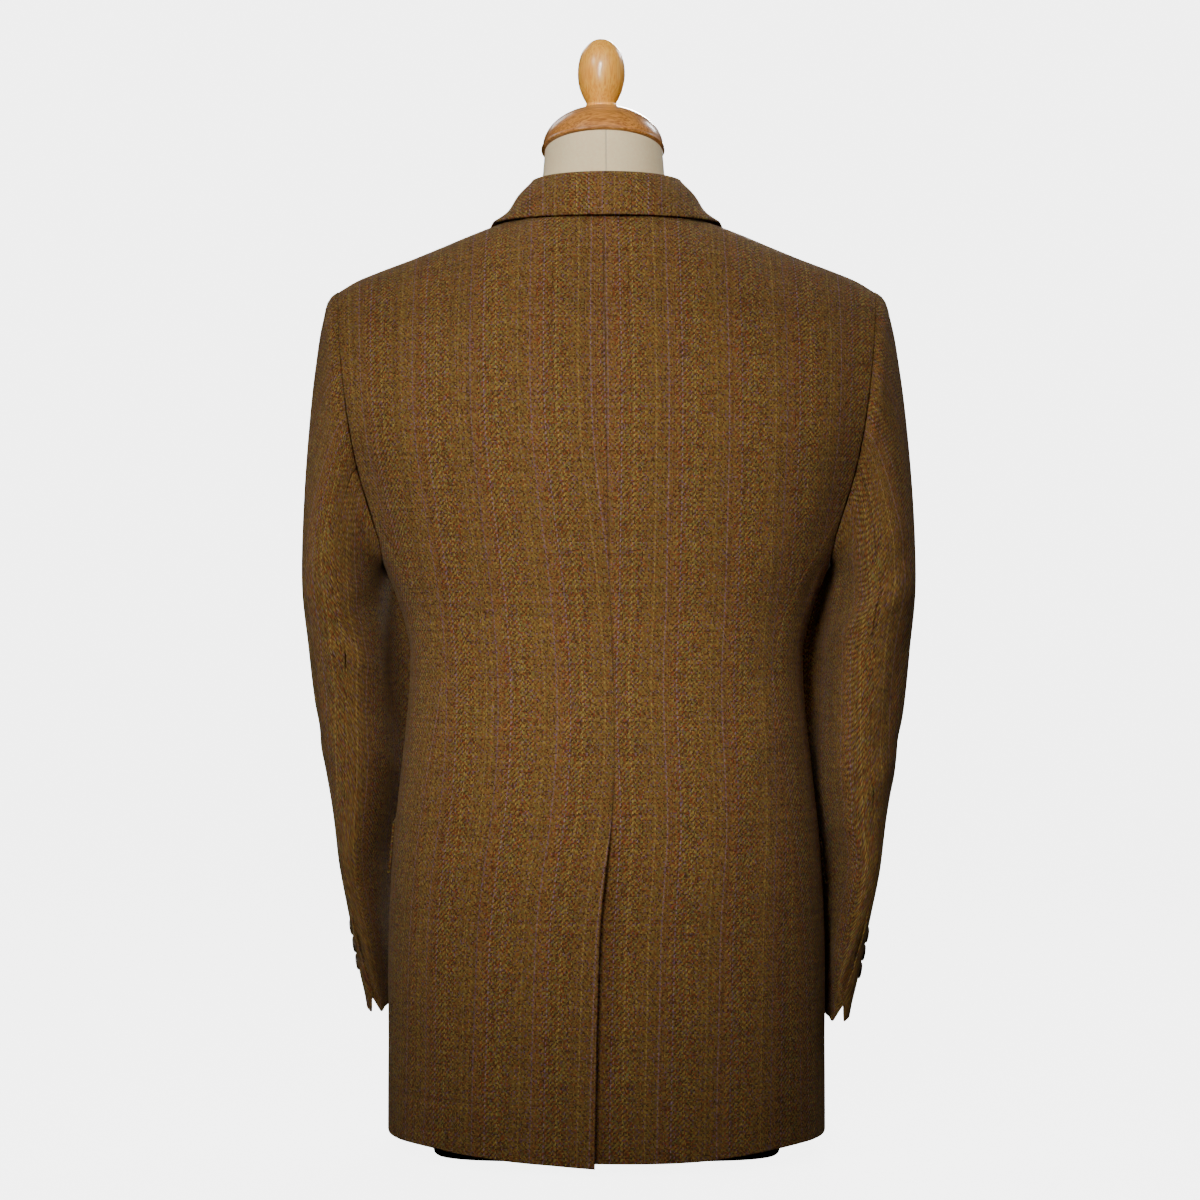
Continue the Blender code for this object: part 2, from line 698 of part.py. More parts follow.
def cap_point(side, start, degrees, share):
    """Point of the sleeve head, from the armhole (share 0) to the sleeve's top ring (share 1)."""
    angle = math.radians(degrees)
    leave = unit(np.array((0.90, 0.30 * math.sin(angle), 0.15 * math.cos(angle))))
    end = sleeve_ring(side, degrees, SLEEVE_TOP_RING)
    span = np.linalg.norm(end - start)
    arrive = np.array((0.0, 0.0, -1.2 * max(start[2] - end[2], 0.012)))
    return hermite(start + leave * SEAM, leave * (0.22 * span + 0.004), end, arrive, share)


def sleeve_grid(side):
    loop, angles = armhole_loop(side)
    rings = []
    for share in CAP_ROWS:
        rings.append([cap_point(side, start, degrees, share) for start, degrees in zip(loop, angles)])
    for share in TUBE_ROWS:
        rings.append([tube_point(side, degrees, share) for degrees in angles])
    points = np.array(rings)
    normals = ring_normals(points)
    for row, share in enumerate(TUBE_ROWS, len(CAP_ROWS)):
        up = NOTCH / (SLEEVE_TOP_RING - CUFF) * ease((share - 0.90) / 0.10)
        points[row, HINDARM] = tube_point(side, angles[HINDARM], share - up)
    return points, normals


CUFF_BUTTON_SHARES = (0.815, 0.857, 0.899)
CUFF_BUTTON_ANGLE = 27.0  # degrees round the sleeve's ring


def cuff_button_seat(side, share):
    """Point on the sleeve's outer face and the normal there."""
    height = SLEEVE_TOP_RING + (CUFF - SLEEVE_TOP_RING) * share
    degrees = CUFF_BUTTON_ANGLE - SLEEVE_DRIFT["degrees"](height)
    step = 2.0
    around = tube_point(side, degrees + step, share) - tube_point(side, degrees - step, share)
    down = tube_point(side, degrees, share + 0.01) - tube_point(side, degrees, share - 0.01)
    return tube_point(side, degrees, share), unit(np.cross(down, around))


# ---------------------------------------------------------------- flaps

FLAP_COLUMNS, FLAP_ROWS = 7, 4
FLAP_DEPTH = 0.050
FLAP_REAR = math.radians(93)
FLAP_FRONT_X = 0.100
FLAP_TOP = {LEFT: (0.281, 0.322), RIGHT: (0.272, 0.313)}  # heights at the rear and the front
FLAP_LIFT = 0.0007
FLAP_STAND_OFF = 0.0012  # the lower edge hangs this much further out


def flap_grid(side):
    rear_top, front_top = FLAP_TOP[side]
    share = FLAP_FRONT_X / BODY["half_width"](front_top)
    front = math.pi - math.asin(share ** (ROUNDNESS / 2))

    def point(across, down):
        angle = FLAP_REAR + (front - FLAP_REAR) * across
        end = min(across, 1 - across) * (FLAP_COLUMNS - 1)
        depth = FLAP_DEPTH * (1 - 0.12 * (1 - ease(end)))
        z = rear_top + (front_top - rear_top) * across - depth * down
        step = 0.001
        along = section_point(angle + step, z) - section_point(angle - step, z)
        up = section_point(angle, z + step) - section_point(angle, z - step)
        normal = unit(np.cross(along, up))
        return section_point(angle, z) - normal * (CLOTH + FLAP_LIFT + FLAP_STAND_OFF * down**2)

    return grid_of(point, np.linspace(0, 1, FLAP_COLUMNS), np.linspace(1, 0, FLAP_ROWS))


# ---------------------------------------------------------------- meshes


def grid_of(point, columns, rows, step=0.001):
    """Points and unit normals of a surface, one row of points for each row."""
    low_c, high_c = min(columns), max(columns)
    low_r, high_r = min(rows), max(rows)
    points = np.array([[point(column, row) for column in columns] for row in rows])
    normals = np.empty_like(points)
    for i, row in enumerate(rows):
        for j, column in enumerate(columns):
            right = point(min(column + step, high_c), row)
            left = point(max(column - step, low_c), row)
            above = point(column, min(row + step, high_r))
            below = point(column, max(row - step, low_r))
            normals[i, j] = unit(np.cross(above - below, right - left))
    return points, normals


def unit(vector):
    return vector / max(np.linalg.norm(vector), 1e-12)


def ring_normals(points):
    """Unit normals of a closed grid from its neighbours."""
    across = np.roll(points, -1, axis=1) - np.roll(points, 1, axis=1)
    normal = np.cross(np.gradient(points, axis=0), across)
    return normal / np.maximum(np.linalg.norm(normal, axis=2, keepdims=True), 1e-12)


def trimmed(points, gap=SEAM / 2, edges="lrbt"):
    """The grid with its edge points drawn back by half a seam gap."""
    points = points.copy()
    moves = {"l": (np.s_[:, 0], np.s_[:, 1]), "r": (np.s_[:, -1], np.s_[:, -2])}
    moves.update({"b": (np.s_[0], np.s_[1]), "t": (np.s_[-1], np.s_[-2])})
    for edge in edges:
        rim, inner = moves[edge]
        step = points[inner] - points[rim]
        length = np.maximum(np.linalg.norm(step, axis=-1, keepdims=True), 1e-9)
        points[rim] = points[rim] + step / length * gap
    return points


def wall(name, outer, inner, material):
    """Closed solid between two like grids."""
    rows, columns = outer.shape[:2]
    mesh = bpy.data.meshes.new(name)
    vertices = [tuple(p) for p in outer.reshape(-1, 3)] + [tuple(p) for p in inner.reshape(-1, 3)]
    count = rows * columns
    faces = []
    for row in range(rows - 1):
        for column in range(columns - 1):
            a, b = row * columns + column, row * columns + column + 1
            faces.append((a, b, b + columns, a + columns))
            faces.append((count + a + columns, count + b + columns, count + b, count + a))
    rims = [[row * columns + end for row in range(rows)] for end in (0, columns - 1)]
    rims += [[end + column for column in range(columns)] for end in (0, count - columns)]
    for rim in rims:  # like diagonals on both sides of a seam, so the seam's gap stays even
        for a, b in zip(rim, rim[1:]):
            faces.append((a, count + a, count + b))
            faces.append((a, count + b, b))
    mesh.from_pydata(vertices, [], faces)
    return place(name, mesh, material)


def place(name, mesh, material):
    """Object of a mesh, its faces turned out."""
    shape = bmesh.new()
    shape.from_mesh(mesh)
    bmesh.ops.recalc_face_normals(shape, faces=shape.faces)
    if shape.calc_volume(signed=True) < 0:
        bmesh.ops.reverse_faces(shape, faces=shape.faces)
    shape.to_mesh(mesh)
    shape.free()
    mesh.shade_smooth()
    mesh.set_sharp_from_angle(angle=math.radians(40))
    mesh.materials.append(material)
    made = bpy.data.objects.new(name, mesh)
    COLLECTION.objects.link(made)
    return made


def mirrored(points, side):
    return points * np.array((side, 1.0, 1.0))


def cloth(name, side, points, normals):
    """Wall of cloth whose outer face is these local points."""
    outer = mirrored(points, side)
    inner = mirrored(points - normals * CLOTH, side)
    return wall(name, outer, inner, TWEED)


def material(name, colour, roughness):
    made = bpy.data.materials.new(name)
    made.use_nodes = True
    shader = made.node_tree.nodes["Principled BSDF"]
    shader.inputs["Base Color"].default_value = (*colour, 1)
    shader.inputs["Roughness"].default_value = roughness
    shader.inputs["Metallic"].default_value = 0.0
    made.diffuse_color = (*colour, 1)
    return made


def loft(name, rings, material):
    """Solid through closed rings, with flat ends."""
    rows, columns = rings.shape[:2]
    mesh = bpy.data.meshes.new(name)
    faces = [tuple(range(columns))[::-1], tuple(range((rows - 1) * columns, rows * columns))]
    for row in range(rows - 1):
        for column in range(columns):
            right = (column + 1) % columns
            a, b = row * columns + column, row * columns + right
            faces.append((a, b, b + columns, a + columns))
    mesh.from_pydata([tuple(p) for p in rings.reshape(-1, 3)], [], faces)
    return place(name, mesh, material)


def turned(name, profile, material, steps):
    """Solid of revolution about +Z from a profile of (radius, height), bottom to top."""
    mesh = bpy.data.meshes.new(name)
    points = [(radius, 0.0, height) for radius, height in reversed(profile)]
    mesh.from_pydata(points, [(i, i + 1) for i in range(len(points) - 1)], [])
    made = bpy.data.objects.new(name, mesh)
    COLLECTION.objects.link(made)
    screw = made.modifiers.new("turn", "SCREW")
    screw.steps = screw.render_steps = steps
    screw.use_merge_vertices = True
    screw.merge_threshold = 0.00001
    mesh.materials.append(material)
    return made


def disc(name, radius, thickness, centre, normal, material):
    """Button: a turned disc with a sunk middle, its back on centre and its axis along normal."""
    profile = (
        (0.0, 0.0),
        (radius * 0.90, 0.0),
        (radius, thickness * 0.35),
        (radius * 0.95, thickness * 0.90),
        (radius * 0.82, thickness),
        (radius * 0.66, thickness * 0.72),
        (0.0, thickness * 0.66),
    )
    made = turned(name, profile, material, 16)
    made.location = centre
    made.rotation_mode = "QUATERNION"
    made.rotation_quaternion = Vector(normal).to_track_quat("Z", "Y")
    return made


for old in list(bpy.data.objects):
    bpy.data.objects.remove(old, do_unlink=True)
COLLECTION = bpy.data.collections.new("hacking_jacket")
bpy.context.scene.collection.children.link(COLLECTION)
TWEED = material("tweed", (0.15, 0.070, 0.020), 0.9)
LINEN = material("linen", (0.79, 0.62, 0.42), 0.8)
WOOD = material("beech", (0.60, 0.30, 0.10), 0.4)
HORN = material("horn", (0.10, 0.045, 0.020), 0.35)

for side, word in ((LEFT, "left"), (RIGHT, "right")):
    points, normals = back_grid(side)
    cloth(f"back_{word}", side, trimmed(points), normals)
    points, normals = side_grid()
    cloth(f"side_{word}", side, trimmed(points), normals)
    points, normals = front_grid(side)
    cloth(f"front_{word}", side, trimmed(points), normals)
    points, normals = lapel_grid(side)
    cloth(f"lapel_{word}", side, points, -normals)
    points, normals = flap_grid(side)
    cloth(f"flap_{word}", side, points, -normals)

    points, normals = sleeve_grid(side)
    columns = len(points[0])
    under = list(range(HINDARM, FOREARM + 1))
    top = [column % columns for column in range(FOREARM, HINDARM + columns + 1)]
    for piece, picked in (("top_sleeve", top), ("under_sleeve", under)):
        cloth(f"{piece}_{word}", side, trimmed(points[:, picked], edges="lr"), normals[:, picked])
    for number, share in enumerate(CUFF_BUTTON_SHARES, 1):
        seat, normal = cuff_button_seat(side, share)
        seat, axis = mirrored(seat + normal * LIFT, side), mirrored(normal, side)
        disc(f"cuff_button_{word}_{number}", CUFF_BUTTON_RADIUS, 0.0022, seat, axis, HORN)

points = collar_grid()
across = np.gradient(points, axis=1)
along = np.gradient(points, axis=0)
normals = np.cross(across, along)
normals /= np.linalg.norm(normals, axis=2, keepdims=True)
wall("collar", points, points - normals * CLOTH, TWEED)

for number, height in enumerate(BUTTON_HEIGHTS, 1):
    seat = front_point(0.0, height)
    axis = outward(0.0, height, False)
    seat = seat + axis * (front_offset(LEFT, 0.0, height) + LIFT)
    disc(f"front_button_{number}", BUTTON_RADIUS, 0.0032, seat, axis, HORN)

# ---------------------------------------------------------------- dress form

rings = []
for height, half_width, back_depth, front_depth, power in TORSO_ROWS:
    ring = []
    for degrees in range(0, 360, 15):
        angle = math.radians(degrees)
        deep = back_depth if math.sin(angle) > 0 else front_depth
        x = half_width * signed_power(math.cos(angle), 2 / power)
        y = deep * signed_power(math.sin(angle), 2 / power)
        ring.append((FORM_X + x, y, height + y * math.tan(CAP_TILT) * ease((height - 0.80) / 0.06)))
    rings.append(ring)
loft("torso", np.array(rings), LINEN)

board = []
for height, inset in ((0.0, 0.003), (0.003, 0.0), (0.015, 0.0), (0.018, 0.003)):
    ring = []
    for degrees in range(0, 360, 10):
        angle = math.radians(degrees)
        x = (BOARD[0] - inset) * signed_power(math.cos(angle), 0.45)
        ring.append((x, (BOARD[1] - inset) * signed_power(math.sin(angle), 0.45), height))
    board.append(ring)
loft("base_board", np.array(board), WOOD)

dome = [
    (0.0528 * math.cos(angle), 0.0036 + (CAP_HEIGHT - 0.0036) * math.sin(angle))
    for angle in np.radians((0, 14, 28, 42, 56, 70, 82))
]
cap = turned("neck_cap", CAP_RIM + tuple(dome) + ((0.0, CAP_HEIGHT),), WOOD, 28)
cap.location = (CAP_CENTRE[0], 0.0, CAP_CENTRE[1])
cap.rotation_euler.x = CAP_TILT
knob = turned("knob", KNOB_PROFILE, WOOD, 24)
knob.location = (KNOB_X, 0.0, 0.0)
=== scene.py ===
# %% [markdown]
# # A tweed hacking jacket on a dress form
# A hacking jacket is a long riding jacket: waisted, with slanted hip pockets and one deep vent at the
# back. This one is a brown herringbone tweed with pairs of fine gold and lilac stripes, and it hangs on
# a limbless dress form with a turned wooden cap and knob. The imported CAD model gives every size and
# place. Here each CAD wall of cloth is replaced by a finer one on the same form, cut from a cloth whose
# weave follows its own flat pattern, and the form and the buttons get their wood, linen and horn.

# %% Load the model
import math

import bpy
import numpy as np
from mathutils import Matrix, Vector


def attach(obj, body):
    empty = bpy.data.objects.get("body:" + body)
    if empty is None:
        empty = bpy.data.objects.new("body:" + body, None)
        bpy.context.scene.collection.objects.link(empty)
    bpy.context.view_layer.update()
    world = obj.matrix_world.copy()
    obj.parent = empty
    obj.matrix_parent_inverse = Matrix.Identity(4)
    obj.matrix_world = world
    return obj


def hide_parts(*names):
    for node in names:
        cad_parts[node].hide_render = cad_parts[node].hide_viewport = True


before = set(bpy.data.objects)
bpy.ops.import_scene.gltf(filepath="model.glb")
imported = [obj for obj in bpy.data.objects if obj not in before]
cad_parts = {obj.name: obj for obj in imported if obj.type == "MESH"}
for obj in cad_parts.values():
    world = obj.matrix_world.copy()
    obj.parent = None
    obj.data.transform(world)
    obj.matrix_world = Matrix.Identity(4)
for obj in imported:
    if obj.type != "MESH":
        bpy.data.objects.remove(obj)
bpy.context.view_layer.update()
bpy.ops.object.select_all(action="DESELECT")

# %% [markdown]
# ## Camera
# The camera looks straight at the back of the jacket from two and a half metres, at the height of its
# middle. A long lens keeps the shoulders and the hem in nearly the same scale, as a catalogue picture does.

# %% Camera behind the jacket
CAMERA_AT = (0.0057, 2.635, 0.477)
LENS, SENSOR = 90.45, 36  # millimetres
bpy.ops.object.camera_add(location=CAMERA_AT, rotation=(math.radians(90), 0, math.radians(180)))
camera = bpy.context.object
camera.data.sensor_width = SENSOR
camera.data.lens = LENS
camera.data.clip_start, camera.data.clip_end = 0.05, 30
bpy.context.scene.camera = camera
print(f"camera {CAMERA_AT[1]} m behind the jacket")

# %% [markdown]
# ## Wires
# A material is a small net of nodes. Wiring one by hand takes many clicks, and wiring it in Python takes
# many lines, so these helpers each make one kind of node, feed it, and hand back its result. Written this
# way, a material reads as the sum that it is.

# %% Helpers for wiring materials
def new_material(name):
    """New material, its node tree and its shader."""
    made = bpy.data.materials.new(name)
    made.use_nodes = True
    tree = made.node_tree
    return made, tree, tree.nodes["Principled BSDF"]


def feed(tree, socket, value):
    """Link another socket to this one, or set this one to a number or a colour."""
    if isinstance(value, bpy.types.NodeSocket):
        tree.links.new(value, socket)
    else:
        socket.default_value = (*value, 1) if isinstance(value, tuple) else value


def set_inputs(tree, shader, values):
    """Feed the shader's inputs, by their names."""
    for name, value in values.items():
        feed(tree, shader.inputs[name], value)


def maths(tree, operation, *values):
    """Math node fed with these sockets or numbers."""
    node = tree.nodes.new("ShaderNodeMath")
    node.operation = operation
    for socket, value in zip(node.inputs, values):
        feed(tree, socket, value)
    return node.outputs[0]


def plus(tree, first, second):
    return maths(tree, "ADD", first, second)


def minus(tree, first, second):
    return maths(tree, "SUBTRACT", first, second)


def times(tree, first, second):
    return maths(tree, "MULTIPLY", first, second)


def mixed(tree, share, first, second, blend="MIX"):
    """Colour between two colours or sockets."""
    node = tree.nodes.new("ShaderNodeMix")
    node.data_type = "RGBA"
    node.blend_type = blend
    for socket, value in zip((node.inputs[0], node.inputs[6], node.inputs[7]), (share, first, second)):
        feed(tree, socket, value)
    return node.outputs[2]


def mixed_value(tree, share, first, second):
    """Number between two sockets."""
    node = tree.nodes.new("ShaderNodeMix")
    for socket, value in zip(node.inputs[:1] + node.inputs[2:4], (share, first, second)):
        feed(tree, socket, value)
    return node.outputs[0]


def stepped(tree, value, low, high):
    """0 below low, 1 above high, smooth between."""
    node = tree.nodes.new("ShaderNodeMapRange")
    node.interpolation_type = "SMOOTHSTEP"
    tree.links.new(value, node.inputs["Value"])
    node.inputs["From Min"].default_value = low
    node.inputs["From Max"].default_value = high
    return node.outputs["Result"]


def noise(tree, vector, scale, detail=2.0, roughness=0.5):
    """Cloudy number round 0.5."""
    node = tree.nodes.new("ShaderNodeTexNoise")
    node.inputs["Scale"].default_value = scale
    node.inputs["Detail"].default_value = detail
    node.inputs["Roughness"].default_value = roughness
    tree.links.new(vector, node.inputs["Vector"])
    return node.outputs["Fac"]


def joined(tree, x, y, z=0.0):
    """Vector of these three."""
    node = tree.nodes.new("ShaderNodeCombineXYZ")
    for socket, value in zip(node.inputs, (x, y, z)):
        feed(tree, socket, value)
    return node.outputs[0]


def separated(tree, vector):
    """The x, y and z of a vector."""
    node = tree.nodes.new("ShaderNodeSeparateXYZ")
    tree.links.new(vector, node.inputs[0])
    return node.outputs


def object_place(tree):
    """Where a point is on its own piece, in metres."""
    return tree.nodes.new("ShaderNodeTexCoord").outputs["Object"]


def ramped(tree, value, rows, steps=False):
    """Colour by a number: (number, colour) rows, held until the next one or blended into it."""
    ramp = tree.nodes.new("ShaderNodeValToRGB")
    if steps:
        ramp.color_ramp.interpolation = "CONSTANT"
    elements = ramp.color_ramp.elements
    for end, (position, colour) in enumerate((rows[0], rows[-1])):
        elements[end].position, elements[end].color = position, (*colour, 1)
    for position, colour in rows[1:-1]:
        elements.new(position).color = (*colour, 1)
    tree.links.new(value, ramp.inputs[0])
    return ramp.outputs[0]


def bumped(tree, shader, height, strength, distance):
    """Let the light see this height, where 1 is so many metres."""
    bump = tree.nodes.new("ShaderNodeBump")
    bump.inputs["Strength"].default_value = strength
    bump.inputs["Distance"].default_value = distance
    tree.links.new(height, bump.inputs["Height"])
    tree.links.new(bump.outputs[0], shader.inputs["Normal"])

# %% [markdown]
# ## Tweed
# A herringbone tweed: the twill lines climb one way in one band and the other way in the next, and
# between a pair of gold threads the weave is a small basket. Threads of real geometry would be far too
# many, so the material works each one out from the panel's flat pattern in metres: u says which warp
# thread it is, v which weft thread, and the two together which of them lies on top.

# %% Which thread is it
REPEAT = 0.0507  # one pair of gold stripes to the next
ENDS = 49  # warp threads in a repeat
PICK = 0.00112  # distance between weft threads
WAVER_SCALE, WAVER = 260.0, 0.0011  # no thread runs quite straight: how finely it strays, and how far


def thread_places(tree, flat):
    """(number, off) of the warp thread and of the weft thread at a flat place: which one it is, and how
    far the place is from its middle, as a share of its width."""
    strays = times(tree, minus(tree, noise(tree, flat, WAVER_SCALE, 1.0), 0.5), WAVER)
    found = []
    for metres, width in zip(separated(tree, flat), (REPEAT / ENDS, PICK)):
        place = maths(tree, "DIVIDE", plus(tree, metres, strays), width)
        found.append((maths(tree, "FLOOR", place), minus(tree, maths(tree, "FRACT", place), 0.5)))
    return found


print(f"warp threads {1000 * REPEAT / ENDS:.2f} mm apart, weft threads {1000 * PICK:.2f} mm")

# %% Which thread lies on top
GOLD_AT, LILAC_AT = 9, 19  # threads out from the middle of the repeat


def warp_shows(tree, end, pick, out):
    """1 where the warp lies on top. Two over, two under: a twill that turns at each pair of gold threads,
    and a basket between them."""
    twill = maths(tree, "LESS_THAN", maths(tree, "FLOORED_MODULO", plus(tree, out, pick), 4.0), 1.5)
    halves = [maths(tree, "FLOOR", times(tree, number, 0.5)) for number in (end, pick)]
    basket = maths(tree, "LESS_THAN", maths(tree, "FLOORED_MODULO", plus(tree, *halves), 2.0), 0.5)
    in_pair = maths(tree, "LESS_THAN", out, GOLD_AT - 0.5)
    return plus(tree, times(tree, basket, in_pair), times(tree, twill, minus(tree, 1.0, in_pair)))

# %% [markdown]
# ## Yarn
# Tweed yarn is spun from wool of several dyed colours, so one thread goes from brown to rust, moss and
# violet within a few millimetres. A random number for each crossing of threads picks its colour from a
# short table. Gold and lilac threads are mixed in at their places in the repeat.

# %% Yarn colours
WARP = (  # from this number up, the thread has this colour
    (0.00, (0.088, 0.040, 0.013)),
    (0.15, (0.270, 0.160, 0.033)),
    (0.43, (0.192, 0.098, 0.024)),
    (0.66, (0.240, 0.060, 0.019)),
    (0.79, (0.146, 0.132, 0.034)),
    (0.92, (0.165, 0.090, 0.092)),
)
WEFT = (
    (0.00, (0.066, 0.029, 0.009)),
    (0.24, (0.135, 0.061, 0.015)),
    (0.55, (0.152, 0.104, 0.026)),
    (0.77, (0.165, 0.042, 0.012)),
    (0.92, (0.118, 0.057, 0.058)),
)
GOLD, GOLD_SHARE = (0.46, 0.32, 0.075), 0.36  # colour of a stripe, and how far its thread takes it
LILAC, LILAC_SHARE = (0.22, 0.13, 0.20), 0.50
RED, RED_SHARE = (0.24, 0.040, 0.022), 0.13


def chance(tree, vector):
    """A random number for each whole place, and a second one."""
    node = tree.nodes.new("ShaderNodeTexWhiteNoise")
    node.noise_dimensions = "3D"
    tree.links.new(vector, node.inputs["Vector"])
    split = tree.nodes.new("ShaderNodeSeparateColor")
    tree.links.new(node.outputs["Color"], split.inputs[0])
    return split.outputs[0], split.outputs[1]


def striped(tree, colour, out):
    """Warp colour with its stripes: a red cast past the lilac threads, lilac threads and gold threads."""
    for found, share, stripe in (
        (maths(tree, "GREATER_THAN", out, LILAC_AT + 0.5), RED_SHARE, RED),
        (maths(tree, "COMPARE", out, float(LILAC_AT), 0.3), LILAC_SHARE, LILAC),
        (maths(tree, "COMPARE", out, float(GOLD_AT), 0.3), GOLD_SHARE, GOLD),
    ):
        colour = mixed(tree, times(tree, found, share), colour, stripe)
    return colour

# %% The tweed
HIDDEN_TWILL = 0.24  # where the yarn's twist hides the twill, this much of the thread below shows
NAP = 1900.0  # how fine the nap is
BRIGHTNESS = 1.32


def tweed_material():
    made, tree, shader = new_material("tweed")
    uv = tree.nodes.new("ShaderNodeUVMap")
    uv.uv_map = "flat"
    flat = uv.outputs[0]
    (end, off_end), (pick, off_pick) = thread_places(tree, flat)
    repeats = maths(tree, "ROUND", maths(tree, "DIVIDE", end, ENDS))
    number = minus(tree, end, times(tree, repeats, ENDS))  # -24 to 24 within a repeat
    out = maths(tree, "ABSOLUTE", number)
    warp_up = warp_shows(tree, end, pick, out)

    # every crossing has its own colour, and every thread and patch of cloth its own tone
    first, second = chance(tree, joined(tree, end, pick, 1.0))
    thread_tone, _ = chance(tree, joined(tree, end, 3.0, 5.0))
    pick_tone, _ = chance(tree, joined(tree, pick, 9.0, 2.0))
    patch = noise(tree, joined(tree, times(tree, end, 0.5), times(tree, pick, 0.22)), 1.0, 1.0)
    warp_colour = striped(tree, ramped(tree, first, WARP, steps=True), out)
    weft_colour = ramped(tree, first, WEFT, steps=True)

    # one way the twist of the yarn shows the twill lines, the other way it hides them
    hidden = times(tree, maths(tree, "GREATER_THAN", number, 0.5), HIDDEN_TWILL)
    soft_weft = mixed(tree, hidden, weft_colour, warp_colour)
    soft_warp = mixed(tree, hidden, warp_colour, weft_colour)
    colour = mixed(tree, warp_up, soft_weft, soft_warp)

    # each thread is round: painted shade darkens the gaps between threads, and the same profile gives the
    # relief below
    off = mixed_value(tree, warp_up, off_pick, off_end)
    roundness = minus(tree, 1.0, times(tree, times(tree, off, off), 4.0))
    gap_shade_and_tone = plus(tree, 0.50, times(tree, roundness, 0.42))
    for least, swing, value in (
        (0.76, 0.48, second),
        (0.88, 0.24, thread_tone),
        (0.90, 0.20, pick_tone),
        (0.85, 0.30, patch),
    ):
        gap_shade_and_tone = times(tree, gap_shade_and_tone, plus(tree, least, times(tree, value, swing)))
    gap_shade_and_tone = times(tree, gap_shade_and_tone, BRIGHTNESS)
    looks = {
        "Base Color": mixed(tree, 1.0, colour, joined(tree, gap_shade_and_tone, gap_shade_and_tone, gap_shade_and_tone), "MULTIPLY"),
        "Roughness": 0.92,
        "Specular IOR Level": 0.2,
        "Sheen Weight": 0.12,
        "Sheen Roughness": 0.45,
        "Sheen Tint": (0.75, 0.55, 0.35),
    }
    set_inputs(tree, shader, looks)
    height = plus(tree, roundness, times(tree, noise(tree, flat, NAP), 0.5))
    bumped(tree, shader, plus(tree, height, patch), 0.55, 0.0004)
    return made


TWEED = tweed_material()
print("tweed:", len(TWEED.node_tree.nodes), "nodes")

# %% [markdown]
# ## Floor and light
# A catalogue picture is taken on a pale floor in a white room. Here the floor and the room are seen but
# throw no light, so the lamps alone draw the folds. They are large and soft, so that no hard edge falls on
# the cloth, and the lamps in front are those behind, turned half way round the jacket.

# %% Floor and white room
ROOM = 5.0  # strength of the white room
FLOOR_SIZE = 9  # metres
bpy.ops.mesh.primitive_plane_add(size=1)
floor = bpy.context.object
floor.name = "floor"
bpy.ops.object.mode_set(mode="EDIT")
bpy.ops.mesh.select_all(action="SELECT")
bpy.ops.transform.resize(value=(FLOOR_SIZE, FLOOR_SIZE, 1))
bpy.ops.object.mode_set(mode="OBJECT")
floor_finish, floor_tree, floor_shader = new_material("pale_floor")
floor_looks = {
    "Base Color": (0.82, 0.82, 0.82),
    "Roughness": 0.9,
    "Emission Color": (1, 1, 1),
    "Emission Strength": ROOM,
}
set_inputs(floor_tree, floor_shader, floor_looks)
floor.data.materials.append(floor_finish)
floor.visible_diffuse = False  # seen white, but it throws no light up under the hem
floor.visible_glossy = False
floor.select_set(False)

world = bpy.data.worlds.new("studio")
bpy.context.scene.world = world
world.use_nodes = True
set_inputs(world.node_tree, world.node_tree.nodes["Background"], {"Color": (1, 1, 1), "Strength": ROOM})
world.cycles_visibility.diffuse = False
world.cycles_visibility.glossy = False
print("floor", FLOOR_SIZE, "m wide")

# %% Lamps
LIGHTS = (  # name, place, aim, size, watts, spread in degrees
    ("left_box", (1.25, 1.35, 1.90), (0, 0.1, 0.50), 0.45, 8.0, 150),
    ("right_box", (-0.85, 1.55, 1.95), (0, 0.1, 0.50), 0.60, 2.9, 150),
    ("middle", (0.30, 1.75, 0.95), (0, 0.1, 0.48), 0.45, 1.60, 40),
    ("front_left_box", (0.85, -1.55, 1.95), (0, -0.1, 0.50), 0.60, 2.9, 150),
    ("front_right_box", (-1.25, -1.35, 1.90), (0, -0.1, 0.50), 0.45, 8.0, 150),
    ("front_middle", (-0.30, -1.75, 0.95), (0, -0.1, 0.48), 0.45, 1.60, 40),
    ("neck", (0.10, 1.10, 1.30), (0, 0.03, 0.965), 0.25, 0.19, 18),
    ("front_neck", (-0.10, -1.10, 1.30), (0, -0.03, 0.965), 0.25, 0.19, 18),
    ("left_side", (2.0, 0.0, 1.1), (0, 0, 0.5), 0.9, 1.4, 180),
    ("right_side", (-2.0, 0.0, 1.1), (0, 0, 0.5), 0.9, 1.4, 180),
)
for name, place, aim, size, watts, beam in LIGHTS:
    bpy.ops.object.light_add(type="AREA", location=place)
    lamp = bpy.context.object
    lamp.name = name
    lamp.data.size = size
    lamp.data.energy = watts
    lamp.data.spread = math.radians(beam)
    direction = [a - b for a, b in zip(aim, place)]
    lamp.rotation_mode = "QUATERNION"
    lamp.rotation_quaternion = Vector(direction).to_track_quat("-Z", "Y")
    lamp.select_set(False)
print(len(LIGHTS), "lamps")

# %% [markdown]
# ## The jacket's form
# Every cloth piece is lofted from section tables: heights with a half width and depths. They are the CAD
# source's own, repeated here with its functions, so that each finer panel lies on its solid. Three forms go a
# little further than the solid's: the sleeve's inner hollow, the V at the cuffs and the edge of the vent.

# %% Driving sizes
LEFT, RIGHT = 1, -1
SIDES = ((LEFT, "left"), (RIGHT, "right"))
CLOTH = 0.0018  # tweed wall
SEAM = 0.0003  # gap between two pieces at a seam
LIFT = 0.0004  # clearance under a piece that lies on another
ROUNDNESS = 2.4  # superellipse power of the body's sections

